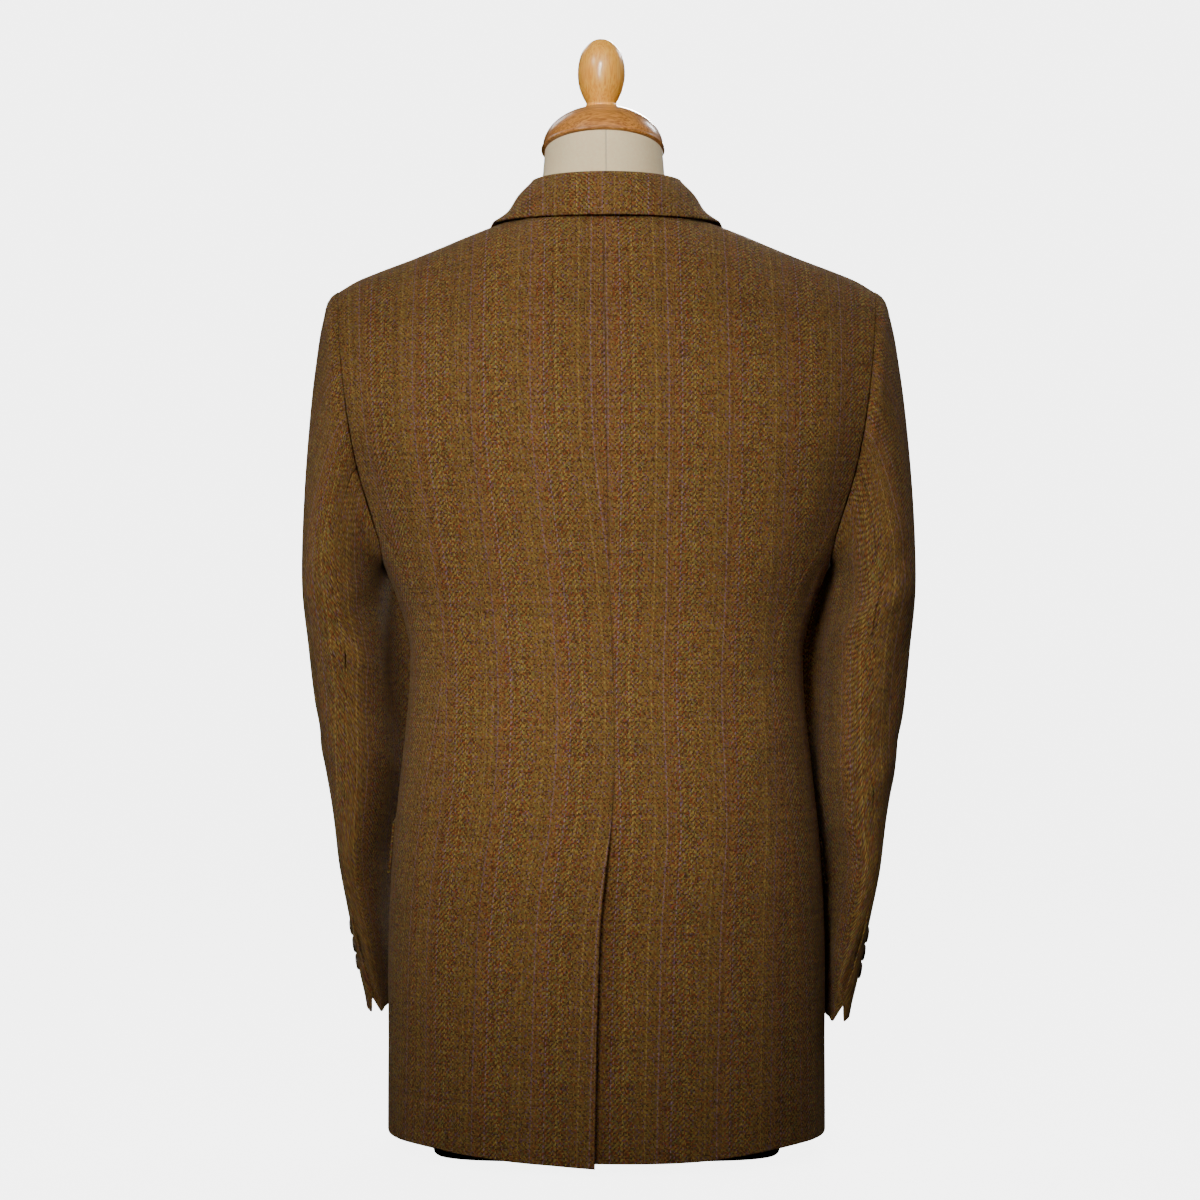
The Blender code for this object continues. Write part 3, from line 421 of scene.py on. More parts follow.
HEM_BACK = 0.0070  # height of the hem at the centre back
HEM_RISE = 0.0102  # how much higher the hem is at the side
HEM_REACH = 0.155  # from here to the side seam the hem is level
BLADE = 0.614  # height where the back starts to turn over the shoulder
CHEST = 0.597  # the same on the front
SHOULDER_TIP = (0.234, 0.002, 0.746)
NECK_POINT = (0.078, 0.003, 0.811)
NAPE = (0.0, 0.072, 0.815)
NECK_SHARE = 3 / 8  # share of the back's columns that end on the neckline

VENT_TOP = 0.300
VENT_UNDERLAP = 0.034
FRONT_LAP = 0.020  # each front passes the centre line by this
BREAK = 0.502  # height where the lapel starts to roll
CUTAWAY_TOP = 0.262
CUTAWAY_REACH = 0.098
BUTTON_HEIGHTS = (0.482, 0.382, 0.282)
BUTTON_RADIUS = 0.0105
CUFF_BUTTON_RADIUS = 0.0072

SLEEVE_TOP_RING = 0.497  # height where the sleeve is a plain tube
CUFF = 0.119  # height of the left cuff at its back edge
CUFF_TILT = 0.13  # rise of the cuff's edge towards the front, per metre of depth
NOTCH = 0.0185  # height of the open V at the cuff vent
RIGHT_CUFF_DROP = 0.0085

# %% Smooth tables
def smooth_table(names, rows):
    """One smooth function of the first column for each other column."""
    keys = names.split()[1:]
    values = np.array(rows, float)
    at = values[:, 0]
    found = {}
    for column, key in enumerate(keys, 1):
        found[key] = smooth_curve(at, values[:, column])
    return found


def slopes(at, value):
    """Slope of a smooth curve at each of the points, or rows of points, that it goes through."""
    step = np.diff(at).reshape(-1, *[1] * (value.ndim - 1))
    rise = np.diff(value, axis=0) / step
    slope = np.empty_like(value)
    slope[0], slope[-1] = rise[0], rise[-1]
    slope[1:-1] = (rise[:-1] * step[1:] + rise[1:] * step[:-1]) / (step[1:] + step[:-1])
    return slope


def smooth_curve(at, value):
    """Cubic through the points, flat past its ends."""
    step, slope = np.diff(at), slopes(at, value)

    def curve(x):
        x = min(max(x, at[0]), at[-1])
        i = min(int(np.searchsorted(at, x, side="right")) - 1, len(step) - 1)
        t = (x - at[i]) / step[i]
        return float(hermite(value[i], slope[i] * step[i], value[i + 1], slope[i + 1] * step[i], t))

    return curve


def hermite(start, leave, end, arrive, t):
    """Point at t of the cubic that leaves start along leave and reaches end along arrive."""
    t2, t3 = t * t, t * t * t
    return (
        (2 * t3 - 3 * t2 + 1) * start
        + (t3 - 2 * t2 + t) * leave
        + (3 * t2 - 2 * t3) * end
        + (t3 - t2) * arrive
    )


def ease(t):
    """0 below 0, 1 above 1, smooth between."""
    t = min(max(t, 0.0), 1.0)
    return t * t * (3 - 2 * t)


each_ease = np.vectorize(ease)

# %% [markdown]
# ## Tables of the form
# Between two measured heights a jacket curves gently, so each table is a handful of rows and the curve
# through them. A table is easy to correct against a picture: a wider waist is one number.

# %% The body's tables
BODY = smooth_table(
    "height half_width back_depth front_depth",
    (
        (0.000, 0.1905, 0.1415, 0.1360),
        (0.100, 0.1900, 0.1405, 0.1360),
        (0.200, 0.1885, 0.1380, 0.1360),
        (0.280, 0.1840, 0.1325, 0.1330),
        (0.337, 0.1780, 0.1245, 0.1290),
        (0.382, 0.1732, 0.1175, 0.1265),
        (0.425, 0.1715, 0.1140, 0.1260),
        (0.455, 0.1752, 0.1145, 0.1275),
        (0.495, 0.1890, 0.1185, 0.1310),
        (0.530, 0.2040, 0.1245, 0.1340),
        (0.563, 0.2180, 0.1290, 0.1360),
        (0.614, 0.2400, 0.1330, 0.1370),
    ),
)
BACK_EDGE = smooth_table(  # side back seam, then the armhole from 0.563 up
    "height x",
    (
        (0.000, 0.1650),
        (0.220, 0.1600),
        (0.310, 0.1510),
        (0.385, 0.1415),
        (0.430, 0.1430),
        (0.480, 0.1580),
        (0.520, 0.1810),
        (0.563, 0.2060),
        (0.590, 0.2135),
        (0.614, 0.2178),
    ),
)
FRONT_EDGE = smooth_table(  # side front seam, then the armhole from 0.542 up
    "height depth",
    (
        (0.000, 0.0700),
        (0.300, 0.0640),
        (0.430, 0.0580),
        (0.500, 0.0510),
        (0.542, 0.0450),
        (0.570, 0.0600),
        (0.597, 0.0700),
    ),
)
SHOULDER = smooth_table(  # ridge of the shoulder, seen from the back
    "x height",
    (
        (0.0780, 0.8110),
        (0.1176, 0.7960),
        (0.1600, 0.7782),
        (0.2067, 0.7602),
        (0.2260, 0.7515),
        (0.2340, 0.7460),
    ),
)
CENTRE_BACK = smooth_table(  # drift of the centre back seam and of the left vent edge
    "height x",
    (
        (0.007, 0.0093),
        (0.100, 0.0079),
        (0.150, 0.0068),
        (0.203, 0.0050),
        (0.250, 0.0008),
        (0.285, -0.0035),
        (0.300, -0.0046),
        (0.550, -0.0010),
        (0.815, 0.0028),
    ),
)

waist, chest = (2 * BODY["half_width"](height) for height in (0.425, 0.563))
print(f"{waist:.3f} m wide at the waist, {chest:.3f} m under the arms")

# %% The sleeve's tables
SLEEVE = smooth_table(  # the sleeve's rings, left side
    "height outer half_thick centre_y half_depth turn power hollow",
    (
        (0.100, 0.2090, 0.0105, -0.059, 0.0660, 4.0, 2.7, 0.000),
        (0.120, 0.2095, 0.0108, -0.055, 0.0665, 4.5, 2.7, 0.000),
        (0.147, 0.2145, 0.0125, -0.050, 0.0675, 5.5, 2.6, 0.000),
        (0.172, 0.2185, 0.0137, -0.045, 0.0680, 7.0, 2.5, 0.000),
        (0.197, 0.2225, 0.0147, -0.041, 0.0685, 9.5, 2.4, 0.000),
        (0.222, 0.2268, 0.0150, -0.038, 0.0688, 13.0, 2.3, 0.001),
        (0.247, 0.2315, 0.0168, -0.034, 0.0690, 14.0, 2.2, 0.004),
        (0.297, 0.2392, 0.0262, -0.031, 0.0695, 12.0, 2.1, 0.012),
        (0.340, 0.2478, 0.0350, -0.029, 0.0705, 12.0, 2.0, 0.019),
        (0.382, 0.2545, 0.0388, -0.027, 0.0710, 13.0, 2.0, 0.024),
        (0.437, 0.2605, 0.0416, -0.022, 0.0730, 14.5, 2.0, 0.026),
        (0.467, 0.2628, 0.0395, -0.017, 0.0750, 14.0, 2.0, 0.023),
        (0.497, 0.2645, 0.0350, -0.010, 0.0770, 11.0, 2.0, 0.016),
    ),
)
SLEEVE_DRIFT = smooth_table(  # how far the sleeve's seams have turned round it
    "height degrees",
    ((0.10, -6.0), (0.13, -12.0), (0.17, -24.0), (0.22, -32.0), (0.29, -26.0), (0.38, -12.0), (0.497, 0.0)),
)
RIGHT_SLEEVE_OUT = smooth_table(  # the right sleeve's outer face is this much further out
    "height x", ((0.10, 0.0030), (0.30, 0.0060), (0.50, 0.0040), (0.62, 0.0015), (0.72, 0.0))
)

# %% [markdown]
# ## Sections of the body
# Cut level, the jacket's body is a rounded rectangle, flatter at the back than an ellipse. A superellipse
# draws it from a half width and a depth. The seams between back, side and front are places on that ring.

# %% Sections of the body
def unit(vector):
    return vector / max(np.linalg.norm(vector), 1e-12)


def mirrored(points, side):
    return points * np.array((side, 1.0, 1.0))


def signed_power(value, power):
    return math.copysign(abs(value) ** power, value)


def oval(angle, wide, deep, power):
    """Point at this angle of a ring: an ellipse where power is 1, nearer a rectangle the less it is."""
    return wide * signed_power(math.cos(angle), power), deep * signed_power(math.sin(angle), power)


def section_point(angle, z):
    """Outer face of the body at this angle from the centre back."""
    depth = BODY["back_depth"](z) if math.cos(angle) >= 0 else BODY["front_depth"](z)
    y, x = oval(angle, depth, BODY["half_width"](z), 2 / ROUNDNESS)
    return np.array((x, y, z))


def depth_at(x, z, depth):
    """How far the section stands from the x axis at this x."""
    share = min(abs(x) / BODY["half_width"](z), 1.0)
    return depth * (1 - share**ROUNDNESS) ** (1 / ROUNDNESS)


def back_point(x, z):
    return np.array((x, depth_at(x, z, BODY["back_depth"](z)), z))


def front_point(x, z):
    return np.array((x, -depth_at(x, z, BODY["front_depth"](z)), z))


def back_angle(z):
    """Angle of the side back seam."""
    share = BACK_EDGE["x"](z) / BODY["half_width"](z)
    return math.asin(share ** (ROUNDNESS / 2))


def front_angle(z):
    """Angle of the side front seam."""
    share = FRONT_EDGE["depth"](z) / BODY["front_depth"](z)
    return math.pi - math.acos(share ** (ROUNDNESS / 2))


def front_edge_x(z):
    return section_point(front_angle(z), z)[0]


def hem_height(x):
    """The hem rises from the centre back towards the sides."""
    return HEM_BACK + HEM_RISE * min(abs(x) / HEM_REACH, 1.0) ** 1.7


SIDE_HEM = hem_height(HEM_REACH)
print(f"the hem is {SIDE_HEM:.4f} m up at the sides")

# %% Rows and columns of the nets
# Rows of the lower pieces, as shares of the way from the hem to the armhole.
LOWER_ROWS = (0, 0.035, 0.09, 0.17, 0.26, 0.35, 0.44, 0.52, 0.5475, 0.60, 0.67, 0.74, 0.81, 0.87, 0.94, 1)
BACK_ARMHOLE, FRONT_ARMHOLE, UNDERARM = 0.563, 0.542, 0.509
ARMHOLE_ROWS = (1.5, 2.0)  # between the armhole's start and the blade or the chest
TURN_ROWS = (2 + 1 / 6, 2 + 2 / 6, 2.5, 2 + 4 / 6, 2 + 5 / 6, 3.0)  # over the shoulder
ALL_ROWS = LOWER_ROWS + ARMHOLE_ROWS + TURN_ROWS
BACK_COLUMNS = 8
FRONT_COLUMNS = 9
SIDE_COLUMNS = 6


def armhole_height(across):
    """Top edge of the side body, from its back seam to its front seam."""
    level = BACK_ARMHOLE + (FRONT_ARMHOLE - BACK_ARMHOLE) * across
    dip = (BACK_ARMHOLE + FRONT_ARMHOLE) / 2 - UNDERARM
    return level - dip * 4 * across * (1 - across)


def shoulder_seam(share):
    """Point of the shoulder seam, from the neck point to the tip."""
    x = NECK_POINT[0] + (SHOULDER_TIP[0] - NECK_POINT[0]) * share
    y = NECK_POINT[1] + (SHOULDER_TIP[1] - NECK_POINT[1]) * share
    return np.array((x, y, SHOULDER["height"](x)))


def neckline(share):
    """Point of the back neckline, from the nape to the neck point."""
    angle = share * math.pi / 2
    x = NECK_POINT[0] * math.sin(angle)
    y = NECK_POINT[1] + (NAPE[1] - NECK_POINT[1]) * math.cos(angle)
    return np.array((x, y, NAPE[2] + (NECK_POINT[2] - NAPE[2]) * math.sin(angle) ** 2))


def net_of(point, columns, rows):
    """Coarse net of points, one row of points for each row."""
    return np.array([[point(column, row) for column in columns] for row in rows])


print(len(ALL_ROWS), "rows in a back or a front")

# %% [markdown]
# ## Cutting cloth
# Each panel starts as a coarse net of points worked out from the section tables, the same net as the CAD
# wall. Smooth curves through the net give a fine one, a few millimetres a step and closer still along
# its edges. A grid primitive takes those places, Solidify gives it the thickness of tweed, and its UV map
# holds the flat pattern in metres, so that stripes and twill lines run as they were cut: along the grain,
# and cut off at a shaped seam.

# %% Fine nets from coarse ones
FOLD_RADIUS = 0.0014  # radius of a folded edge
SHOWN_SEAM = 0.00005  # the shown cloth stops this far from the middle of a seam
CUFF_VENT_TOP = 0.207  # the sleeve's hind seam is open below this
CLOTH_STEP = 0.0042  # distance between the points of a fine net
CLOSE = np.array((0.0, 0.0006, 0.0013, 0.0022, 0.0034, 0.0052))  # distances from an edge


def knots(net):
    """Mean distance of each row of points from the first one."""
    gaps = np.linalg.norm(np.diff(net, axis=0), axis=2).mean(axis=1)
    return np.concatenate(([0.0], np.cumsum(gaps)))


def along(net, places):
    """Rows of points at these distances, on smooth curves through the net's own rows."""
    at = knots(net)
    slope = slopes(at, net)
    row = np.clip(np.searchsorted(at, places, side="right") - 1, 0, len(at) - 2)
    width = np.diff(at)[row, None, None]
    share = (places - at[row])[:, None, None] / width
    return hermite(net[row], slope[row] * width, net[row + 1], slope[row + 1] * width, share)


def spread(length, step, first_gap, last_gap):
    """Places along a panel: close together at its edges, then about `step` apart."""
    start, end = first_gap, length - last_gap
    count = max(round((end - start - 2 * CLOSE[-1]) / step), 2)
    middle = np.linspace(start + CLOSE[-1], end - CLOSE[-1], count + 1)
    return np.concatenate((start + CLOSE[:-1], middle, (end - CLOSE[:-1])[::-1]))


print(f"points {1000 * CLOTH_STEP:.1f} mm apart, and {1000 * CLOSE[1]:.1f} mm at an edge")

# %% [markdown]
# ## Seams and folded edges
# Where two pieces are sewn, the cloth dips into the seam. Where it is turned in, as at a hem, it rounds over
# and under. Both happen within two millimetres of the edge, where the fine net has its closest points, so
# the points themselves are moved in. At the cuff's open vent the upper edge stands proud and the lower sinks.

# %% Seams and folded edges
SEAM_SINK, SEAM_WIDTH = 0.0007, 0.0012  # depth of a seam, and the distance in which it fades
PRESSED_FROM, PRESSED_RUN, PRESSED = 0.60, 0.08, 0.65  # the shoulders' seams are pressed flatter
CUFF_LIP, CUFF_LIP_WIDTH, CUFF_LIP_RUN = 0.0006, 0.006, 0.012  # how proud the vent's upper edge stands
CUFF_DIP, CUFF_DIP_WIDTH, CUFF_DIP_RUN = 0.0036, 0.008, 0.03  # how deep the lower one sinks


def near(from_edge, width):
    """1 at an edge, and gone some two widths away."""
    return np.exp(-((from_edge / width) ** 2))


def sagged(from_edge, kind, heights):
    """How far the face drops towards an edge: into a seam, or round a folded edge. A vent's edge is
    folded below the vent's top and sewn above it, and the edge under a cuff's vent lies deeper."""
    pressed = PRESSED * np.clip((heights - PRESSED_FROM) / PRESSED_RUN, 0, 1)
    seam = SEAM_SINK * np.exp(-from_edge / SEAM_WIDTH) * (1 - pressed)
    inside = np.clip(1 - from_edge / FOLD_RADIUS, 0, 1)
    fold = FOLD_RADIUS * (1 - np.sqrt(1 - inside**2))
    if kind == "vent":
        return np.where(heights > VENT_TOP, seam, fold)
    if kind == "cuff_top":
        opened = np.clip((CUFF_VENT_TOP - heights) / CUFF_LIP_RUN, 0, 1)
        return seam + (fold - seam - CUFF_LIP * near(from_edge, CUFF_LIP_WIDTH)) * opened
    if kind == "cuff_under":
        opened = np.clip((CUFF_VENT_TOP - heights) / CUFF_DIP_RUN, 0, 1)
        return seam + CUFF_DIP * near(from_edge, CUFF_DIP_WIDTH) * opened
    return seam if kind == "seam" else fold


def outward_of(net, facing):
    """Unit normals of a net, out of the body."""
    normal = facing * np.cross(np.gradient(net, axis=0), np.gradient(net, axis=1))
    return normal / np.maximum(np.linalg.norm(normal, axis=2, keepdims=True), 1e-12)

# %% [markdown]
# ## Soft folds
# An empty sleeve breaks into folds at the elbow and the waist draws small ones to the buttons. A cloth
# simulation would find its own folds, not these, so each is listed one by one: a soft ridge or trough between
# two points, as seen from one side, that fades at its ends and where the cloth turns away.

# %% Table of the soft folds
# The side a fold is seen from, its two ends across and up, its width, and its depth, out of the cloth where
# it is more than 0.
CREASES = {
    "sleeve_left": (
        ("back", 0.1830, 0.545, 0.1800, 0.345, 0.011, -0.0075),
        ("back", 0.2389, 0.661, 0.213, 0.5574, 0.007, 0.0019),
        ("back", 0.2259, 0.4753, 0.2009, 0.5029, 0.009, 0.0027),
        ("back", 0.2562, 0.515, 0.2216, 0.4424, 0.008, -0.0021),
        ("back", 0.2432, 0.4338, 0.1957, 0.4182, 0.009, 0.003),
        ("back", 0.2475, 0.3992, 0.2069, 0.3768, 0.009, -0.0027),
        ("back", 0.2346, 0.3517, 0.1948, 0.337, 0.009, 0.0021),
        ("back", 0.2389, 0.3128, 0.2061, 0.2869, 0.009, -0.0014),
        ("back", 0.2259, 0.261, 0.2069, 0.242, 0.006, 0.0015),
        ("back", 0.232, 0.242, 0.2113, 0.2247, 0.006, -0.0012),
        ("front", 0.258, 0.372, 0.206, 0.352, 0.01, -0.0032),
        ("front", 0.256, 0.404, 0.214, 0.392, 0.009, 0.0024),
        ("front", 0.25, 0.338, 0.205, 0.325, 0.009, 0.0023),
        ("front", 0.248, 0.305, 0.212, 0.296, 0.008, -0.0018),
        ("front", 0.262, 0.47, 0.226, 0.42, 0.009, -0.0019),
        ("front", 0.255, 0.54, 0.238, 0.47, 0.008, 0.0016),
        ("front", 0.235, 0.18, 0.205, 0.168, 0.007, -0.0012),
        ("outer", -0.075, 0.392, 0.01, 0.366, 0.012, -0.0018),
        ("outer", -0.07, 0.355, 0.0, 0.345, 0.01, 0.0016),
        ("outer", -0.03, 0.56, -0.012, 0.47, 0.013, -0.0014),
        ("outer", -0.085, 0.215, -0.03, 0.232, 0.009, -0.0014),
    ),
    "sleeve_right": (
        ("back", -0.1800, 0.560, -0.1765, 0.330, 0.013, -0.0110),
        ("back", -0.2363, 0.6731, -0.2164, 0.5574, 0.007, 0.0019),
        ("back", -0.2588, 0.5185, -0.2095, 0.4658, 0.008, -0.0033),
        ("back", -0.251, 0.5392, -0.2061, 0.5116, 0.008, 0.0021),
        ("back", -0.2545, 0.4856, -0.1862, 0.4321, 0.01, 0.003),
        ("back", -0.2588, 0.4424, -0.2329, 0.3318, 0.008, -0.0025),
        ("back", -0.2458, 0.3388, -0.2035, 0.2748, 0.008, 0.0025),
        ("back", -0.2259, 0.3172, -0.1983, 0.2938, 0.007, -0.0016),
        ("back", -0.2268, 0.2454, -0.2061, 0.2161, 0.006, 0.0015),
        ("back", -0.2294, 0.2645, -0.2104, 0.2472, 0.006, -0.0012),
        ("front", -0.262, 0.36, -0.211, 0.346, 0.011, -0.0034),
        ("front", -0.262, 0.396, -0.216, 0.38, 0.009, 0.0023),
        ("front", -0.253, 0.322, -0.21, 0.314, 0.009, 0.0024),
        ("front", -0.25, 0.29, -0.216, 0.276, 0.008, -0.0015),
        ("front", -0.262, 0.5, -0.232, 0.436, 0.01, -0.0021),
        ("front", -0.24, 0.165, -0.21, 0.156, 0.007, -0.0012),
        ("outer", -0.08, 0.376, 0.015, 0.352, 0.012, -0.0019),
        ("outer", -0.074, 0.338, 0.0, 0.322, 0.01, 0.0016),
        ("outer", -0.026, 0.575, -0.01, 0.48, 0.013, -0.0015),
        ("outer", -0.08, 0.25, -0.035, 0.262, 0.009, -0.0012),
    ),
    "body": (
        ("back", -0.0100, 0.300, -0.0070, 0.090, 0.013, -0.0075),
        ("back", -0.0972, 0.3711, -0.1381, 0.4228, 0.014, -0.0017),
        ("back", -0.1139, 0.3477, -0.1597, 0.3661, 0.012, 0.0016),
        ("back", -0.1589, 0.5454, -0.1239, 0.4853, 0.014, 0.0014),
        ("back", -0.0304, 0.3269, -0.0922, 0.3435, 0.012, -0.0009),
        ("back", -0.1255, 0.3185, -0.1255, 0.2142, 0.016, -0.0016),
        ("back", -0.1014, 0.3102, -0.0963, 0.2226, 0.014, 0.0012),
        ("back", 0.0079, 0.5104, -0.0638, 0.5104, 0.009, -0.0005),
        ("back", -0.1806, 0.7064, -0.1914, 0.6822, 0.014, 0.0013),
        ("back", 0.1531, 0.1433, 0.1489, 0.0266, 0.016, -0.0016),
        ("back", 0.0755, 0.1225, 0.0722, 0.0391, 0.018, -0.0016),
        ("back", 0.1139, 0.1308, 0.1105, 0.0182, 0.014, 0.001),
        ("back", 0.1155, 0.5671, 0.1022, 0.5404, 0.012, -0.0008),
        ("back", 0.1264, 0.3936, 0.0955, 0.4311, 0.013, -0.0009),
        ("back", 0.1389, 0.3644, 0.1055, 0.3585, 0.011, 0.0008),
        ("back", -0.1798, 0.5054, -0.1714, 0.472, 0.005, -0.0016),
        ("back", -0.078, 0.135, -0.088, 0.0349, 0.016, -0.0012),
        ("back", -0.1614, 0.5104, -0.1531, 0.477, 0.006, 0.0012),
        ("back", 0.1681, 0.477, 0.1556, 0.4436, 0.007, -0.001),
        ("front", 0.030, 0.384, 0.120, 0.425, 0.012, -0.0016),
        ("front", -0.034, 0.380, -0.128, 0.408, 0.013, -0.0014),
        ("front", 0.040, 0.398, 0.105, 0.447, 0.010, 0.0009),
        ("front", -0.045, 0.366, -0.118, 0.379, 0.012, 0.0009),
        ("front", 0.034, 0.470, 0.098, 0.455, 0.011, -0.0012),
        ("front", -0.038, 0.474, -0.110, 0.462, 0.012, -0.0013),
        ("front", 0.112, 0.230, 0.120, 0.110, 0.016, -0.0016),
        ("front", -0.122, 0.215, -0.126, 0.090, 0.017, -0.0013),
        ("front", 0.086, 0.205, 0.094, 0.060, 0.014, 0.0012),
        ("front", 0.118, 0.560, 0.150, 0.520, 0.011, -0.0014),
        ("front", -0.126, 0.552, -0.150, 0.508, 0.012, -0.0013),
        ("outer", -0.030, 0.420, 0.035, 0.442, 0.011, -0.0012),
        ("outer", -0.040, 0.300, -0.030, 0.130, 0.015, -0.0013),
        ("outer", 0.020, 0.280, 0.024, 0.120, 0.015, 0.001),
    ),
}

print(sum(len(rows) for rows in CREASES.values()), "soft folds")

# %% Height of the soft folds
FOLD_START = 0.12  # a fold starts and ends this far along half a wave
TURNED = 2.2  # how fast it fades where the cloth turns away


def crease_rows(name):
    """The folds that cross this panel."""
    kind, _, word = name.rpartition("_")
    if kind.endswith("sleeve"):
        return CREASES[f"sleeve_{word}"]
    return CREASES["body"] if kind in ("back", "side", "front") else ()


def creased(name, side, net, out):
    """Height of the panel's soft folds at each of its points."""
    height = np.zeros(net.shape[:2])
    level = net[..., (0, 2)] * np.array((side, 1.0))
    views = {  # where a point is seen from each side, and how far the cloth faces that side
        "back": (level, out[..., 1]),
        "front": (level, -out[..., 1]),
        "outer": (net[..., (1, 2)], out[..., 0]),
    }
    for view, a0, z0, a1, z1, width, depth in crease_rows(name):
        flat, toward = views[view]
        start, run = np.array((a0, z0)), np.array((a1 - a0, z1 - z0))
        share = np.clip(((flat - start) @ run) / (run @ run), 0, 1)
        away = np.linalg.norm(flat - start - share[..., None] * run, axis=2)
        taper = np.sin(np.pi * (FOLD_START + (1 - 2 * FOLD_START) * share))
        height += depth * near(away, width) * taper * np.clip(toward * TURNED, 0, 1)
    return height

# %% The cut of a sheet
HELD = {  # how each kind of piece is held, and what it lies on or hangs from
    "back": ("draped", ("torso",)),
    "side": ("draped", ("torso",)),
    "front": ("draped", ("torso",)),
    "lapel": ("folded", ("front",)),
    "collar": ("folded", ("back_left", "back_right")),
    "flap": ("hung", ("front", "side")),
    "top_sleeve": ("hung", ("back", "front")),
    "under_sleeve": ("hung", ("side",)),
}


def declare_sheet(panel, name, net, flat):
    """Say what size the panel was cut to: its flat pattern's width, length and area."""
    kind, _, word = name.rpartition("_") if name != "collar" else (name, "", "")
    held, under = HELD[kind]
    if word:
        under = [node if node == "torso" else f"{node}_{word}" for node in under]
    if name == "collar":  # its stripes follow the back's, so its length is measured round the neck instead
        flat = np.dstack(np.meshgrid(knots(net.swapaxes(0, 1)), knots(net)))
    across, up = np.diff(flat, axis=1)[:-1], np.diff(flat, axis=0)[:, :-1]
    area = float(abs(across[..., 0] * up[..., 1] - across[..., 1] * up[..., 0]).sum())
    width, length = (float(np.ptp(flat[..., axis])) for axis in (0, 1))
    area = min(area, width * length)
    print(f"{name}: cut {width:.3f} x {length:.3f} m, {area:.4f} m2")

# %% [markdown]
# ## A panel of cloth
# A grid primitive has just the right mesh for cloth: rows and columns of square faces and a UV map. Its
# points are moved to the fine net, its UVs to the flat pattern, and Solidify gives it a wall, inwards, so
# that the net stays the face that is seen.

# %% Lay one panel
SHOWN_CLOTH = 0.0017


def grid_of(name, points):
    """Grid whose rows and columns are these points."""
    bpy.ops.mesh.primitive_grid_add(x_subdivisions=points.shape[1] - 1, y_subdivisions=points.shape[0] - 1)
    made = bpy.context.object
    made.name = made.data.name = name
    made.data.vertices.foreach_set("co", points.ravel())
    made.data.update()
    return made


def shown_for(piece, node, finish):
    """Finish a piece and let it stand for its node."""
    piece.data.materials.append(finish)
    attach(piece, "root")
    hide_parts(node)
    piece.select_set(False)
    print(f"{piece.name}: {len(piece.data.polygons)} faces")


def lay_panel(name, net, flat):
    """Mesh panel at these points, its UV map in metres of cloth, with the thickness of tweed."""
    panel = grid_of(name + "_cloth", net)
    mesh = panel.data
    corners = np.empty(len(mesh.loops), int)
    mesh.loops.foreach_get("vertex_index", corners)
    mesh.uv_layers[0].name = "flat"
    mesh.uv_layers[0].data.foreach_set("uv", flat.reshape(-1, 2)[corners].ravel())
    wall = panel.modifiers.new("wall", "SOLIDIFY")
    wall.thickness = SHOWN_CLOTH
    wall.offset = -1
    bpy.ops.object.modifier_apply(modifier="wall")
    bpy.ops.object.shade_smooth()
    shown_for(panel, name, TWEED)
    return panel

# %% Cut one panel
VENT_STAND, VENT_STAND_WIDTH, VENT_STAND_RUN = 0.0085, 0.045, 0.05  # the left back's shown edge at the vent
HEM_CALM, HEM_CALM_FROM, HEM_CALM_RUN = 0.4, 0.19, 0.16  # share of it that is gone at the hem


def vent_stand(net):
    """How much further out the left back stands: most at its vent's edge, and less near the hem."""
    z = net[..., 2]
    from_vent = net[..., 0] - np.vectorize(CENTRE_BACK["x"])(z)
    opened = each_ease((VENT_TOP - z) / VENT_STAND_RUN)
    opened = opened * (1 - HEM_CALM * each_ease((HEM_CALM_FROM - z) / HEM_CALM_RUN))
    return VENT_STAND * opened * np.clip(1 - from_vent / VENT_STAND_WIDTH, 0, 1) ** 2


def cut_cloth(name, side, coarse, facing, edges, pattern, step=CLOTH_STEP):
    """Panel on the form of a coarse local net. edges names the kind of its left, right, bottom and top
    edge, and pattern gives the flat coordinates of the fine net."""
    gaps = [0.0 if kind == "fold" else SHOWN_SEAM for kind in edges]
    rows = spread(knots(coarse)[-1], step, gaps[2], gaps[3])
    net = along(coarse, rows)
    columns = spread(knots(net.swapaxes(0, 1))[-1], step, gaps[0], gaps[1])
    net = along(net.swapaxes(0, 1), columns).swapaxes(0, 1)
    flat = pattern(net)
    out = outward_of(net, facing)
    height = creased(name, side, net, out)
    if name == "back_left":
        height += vent_stand(net)
    z = net[..., 2]
    left, right = columns, columns[-1] + gaps[1] - columns
    bottom, top = rows[:, None], rows[-1] + gaps[3] - rows[:, None]
    for from_edge, kind in zip((left, right, bottom, top), edges):
        height = height - sagged(np.broadcast_to(from_edge, z.shape), kind, z)
    net = mirrored(net + out * height[..., None], side)
    if side * facing > 0:  # the grid primitive's faces look along columns x rows
        net, flat = net[:, ::-1], flat[:, ::-1] * np.array((-1.0, 1.0))
    declare_sheet(lay_panel(name, net, flat), name, net, flat)

# %% [markdown]
# ## Flat patterns
# A panel's flat coordinates are metres of cloth: u across the grain and v along it. On the body, v is the
# height, and above the chest the length up the cloth. u is the width of the panel along its own curve,
# and over the shoulder it returns to the plain width, as straight stripes do. The centre back seam takes
# out a wedge of cloth at the waist, so the stripes beside it lean in there and are cut off.

# %% Flat coordinates of the panels
STRIPE_FROM_SEAM = 0.0315  # first pair of gold stripes from the centre back seam
CENTRE_CUT = smooth_table(  # cloth that the centre back seam takes from each side
    "height left right",
    (
        (0.000, 0.006, 0.001),
        (0.236, 0.009, 0.002),
        (0.415, 0.014, 0.010),
        (0.480, 0.012, 0.005),
        (0.614, 0.000, 0.000),
        (0.815, 0.001, 0.000),
    ),
)


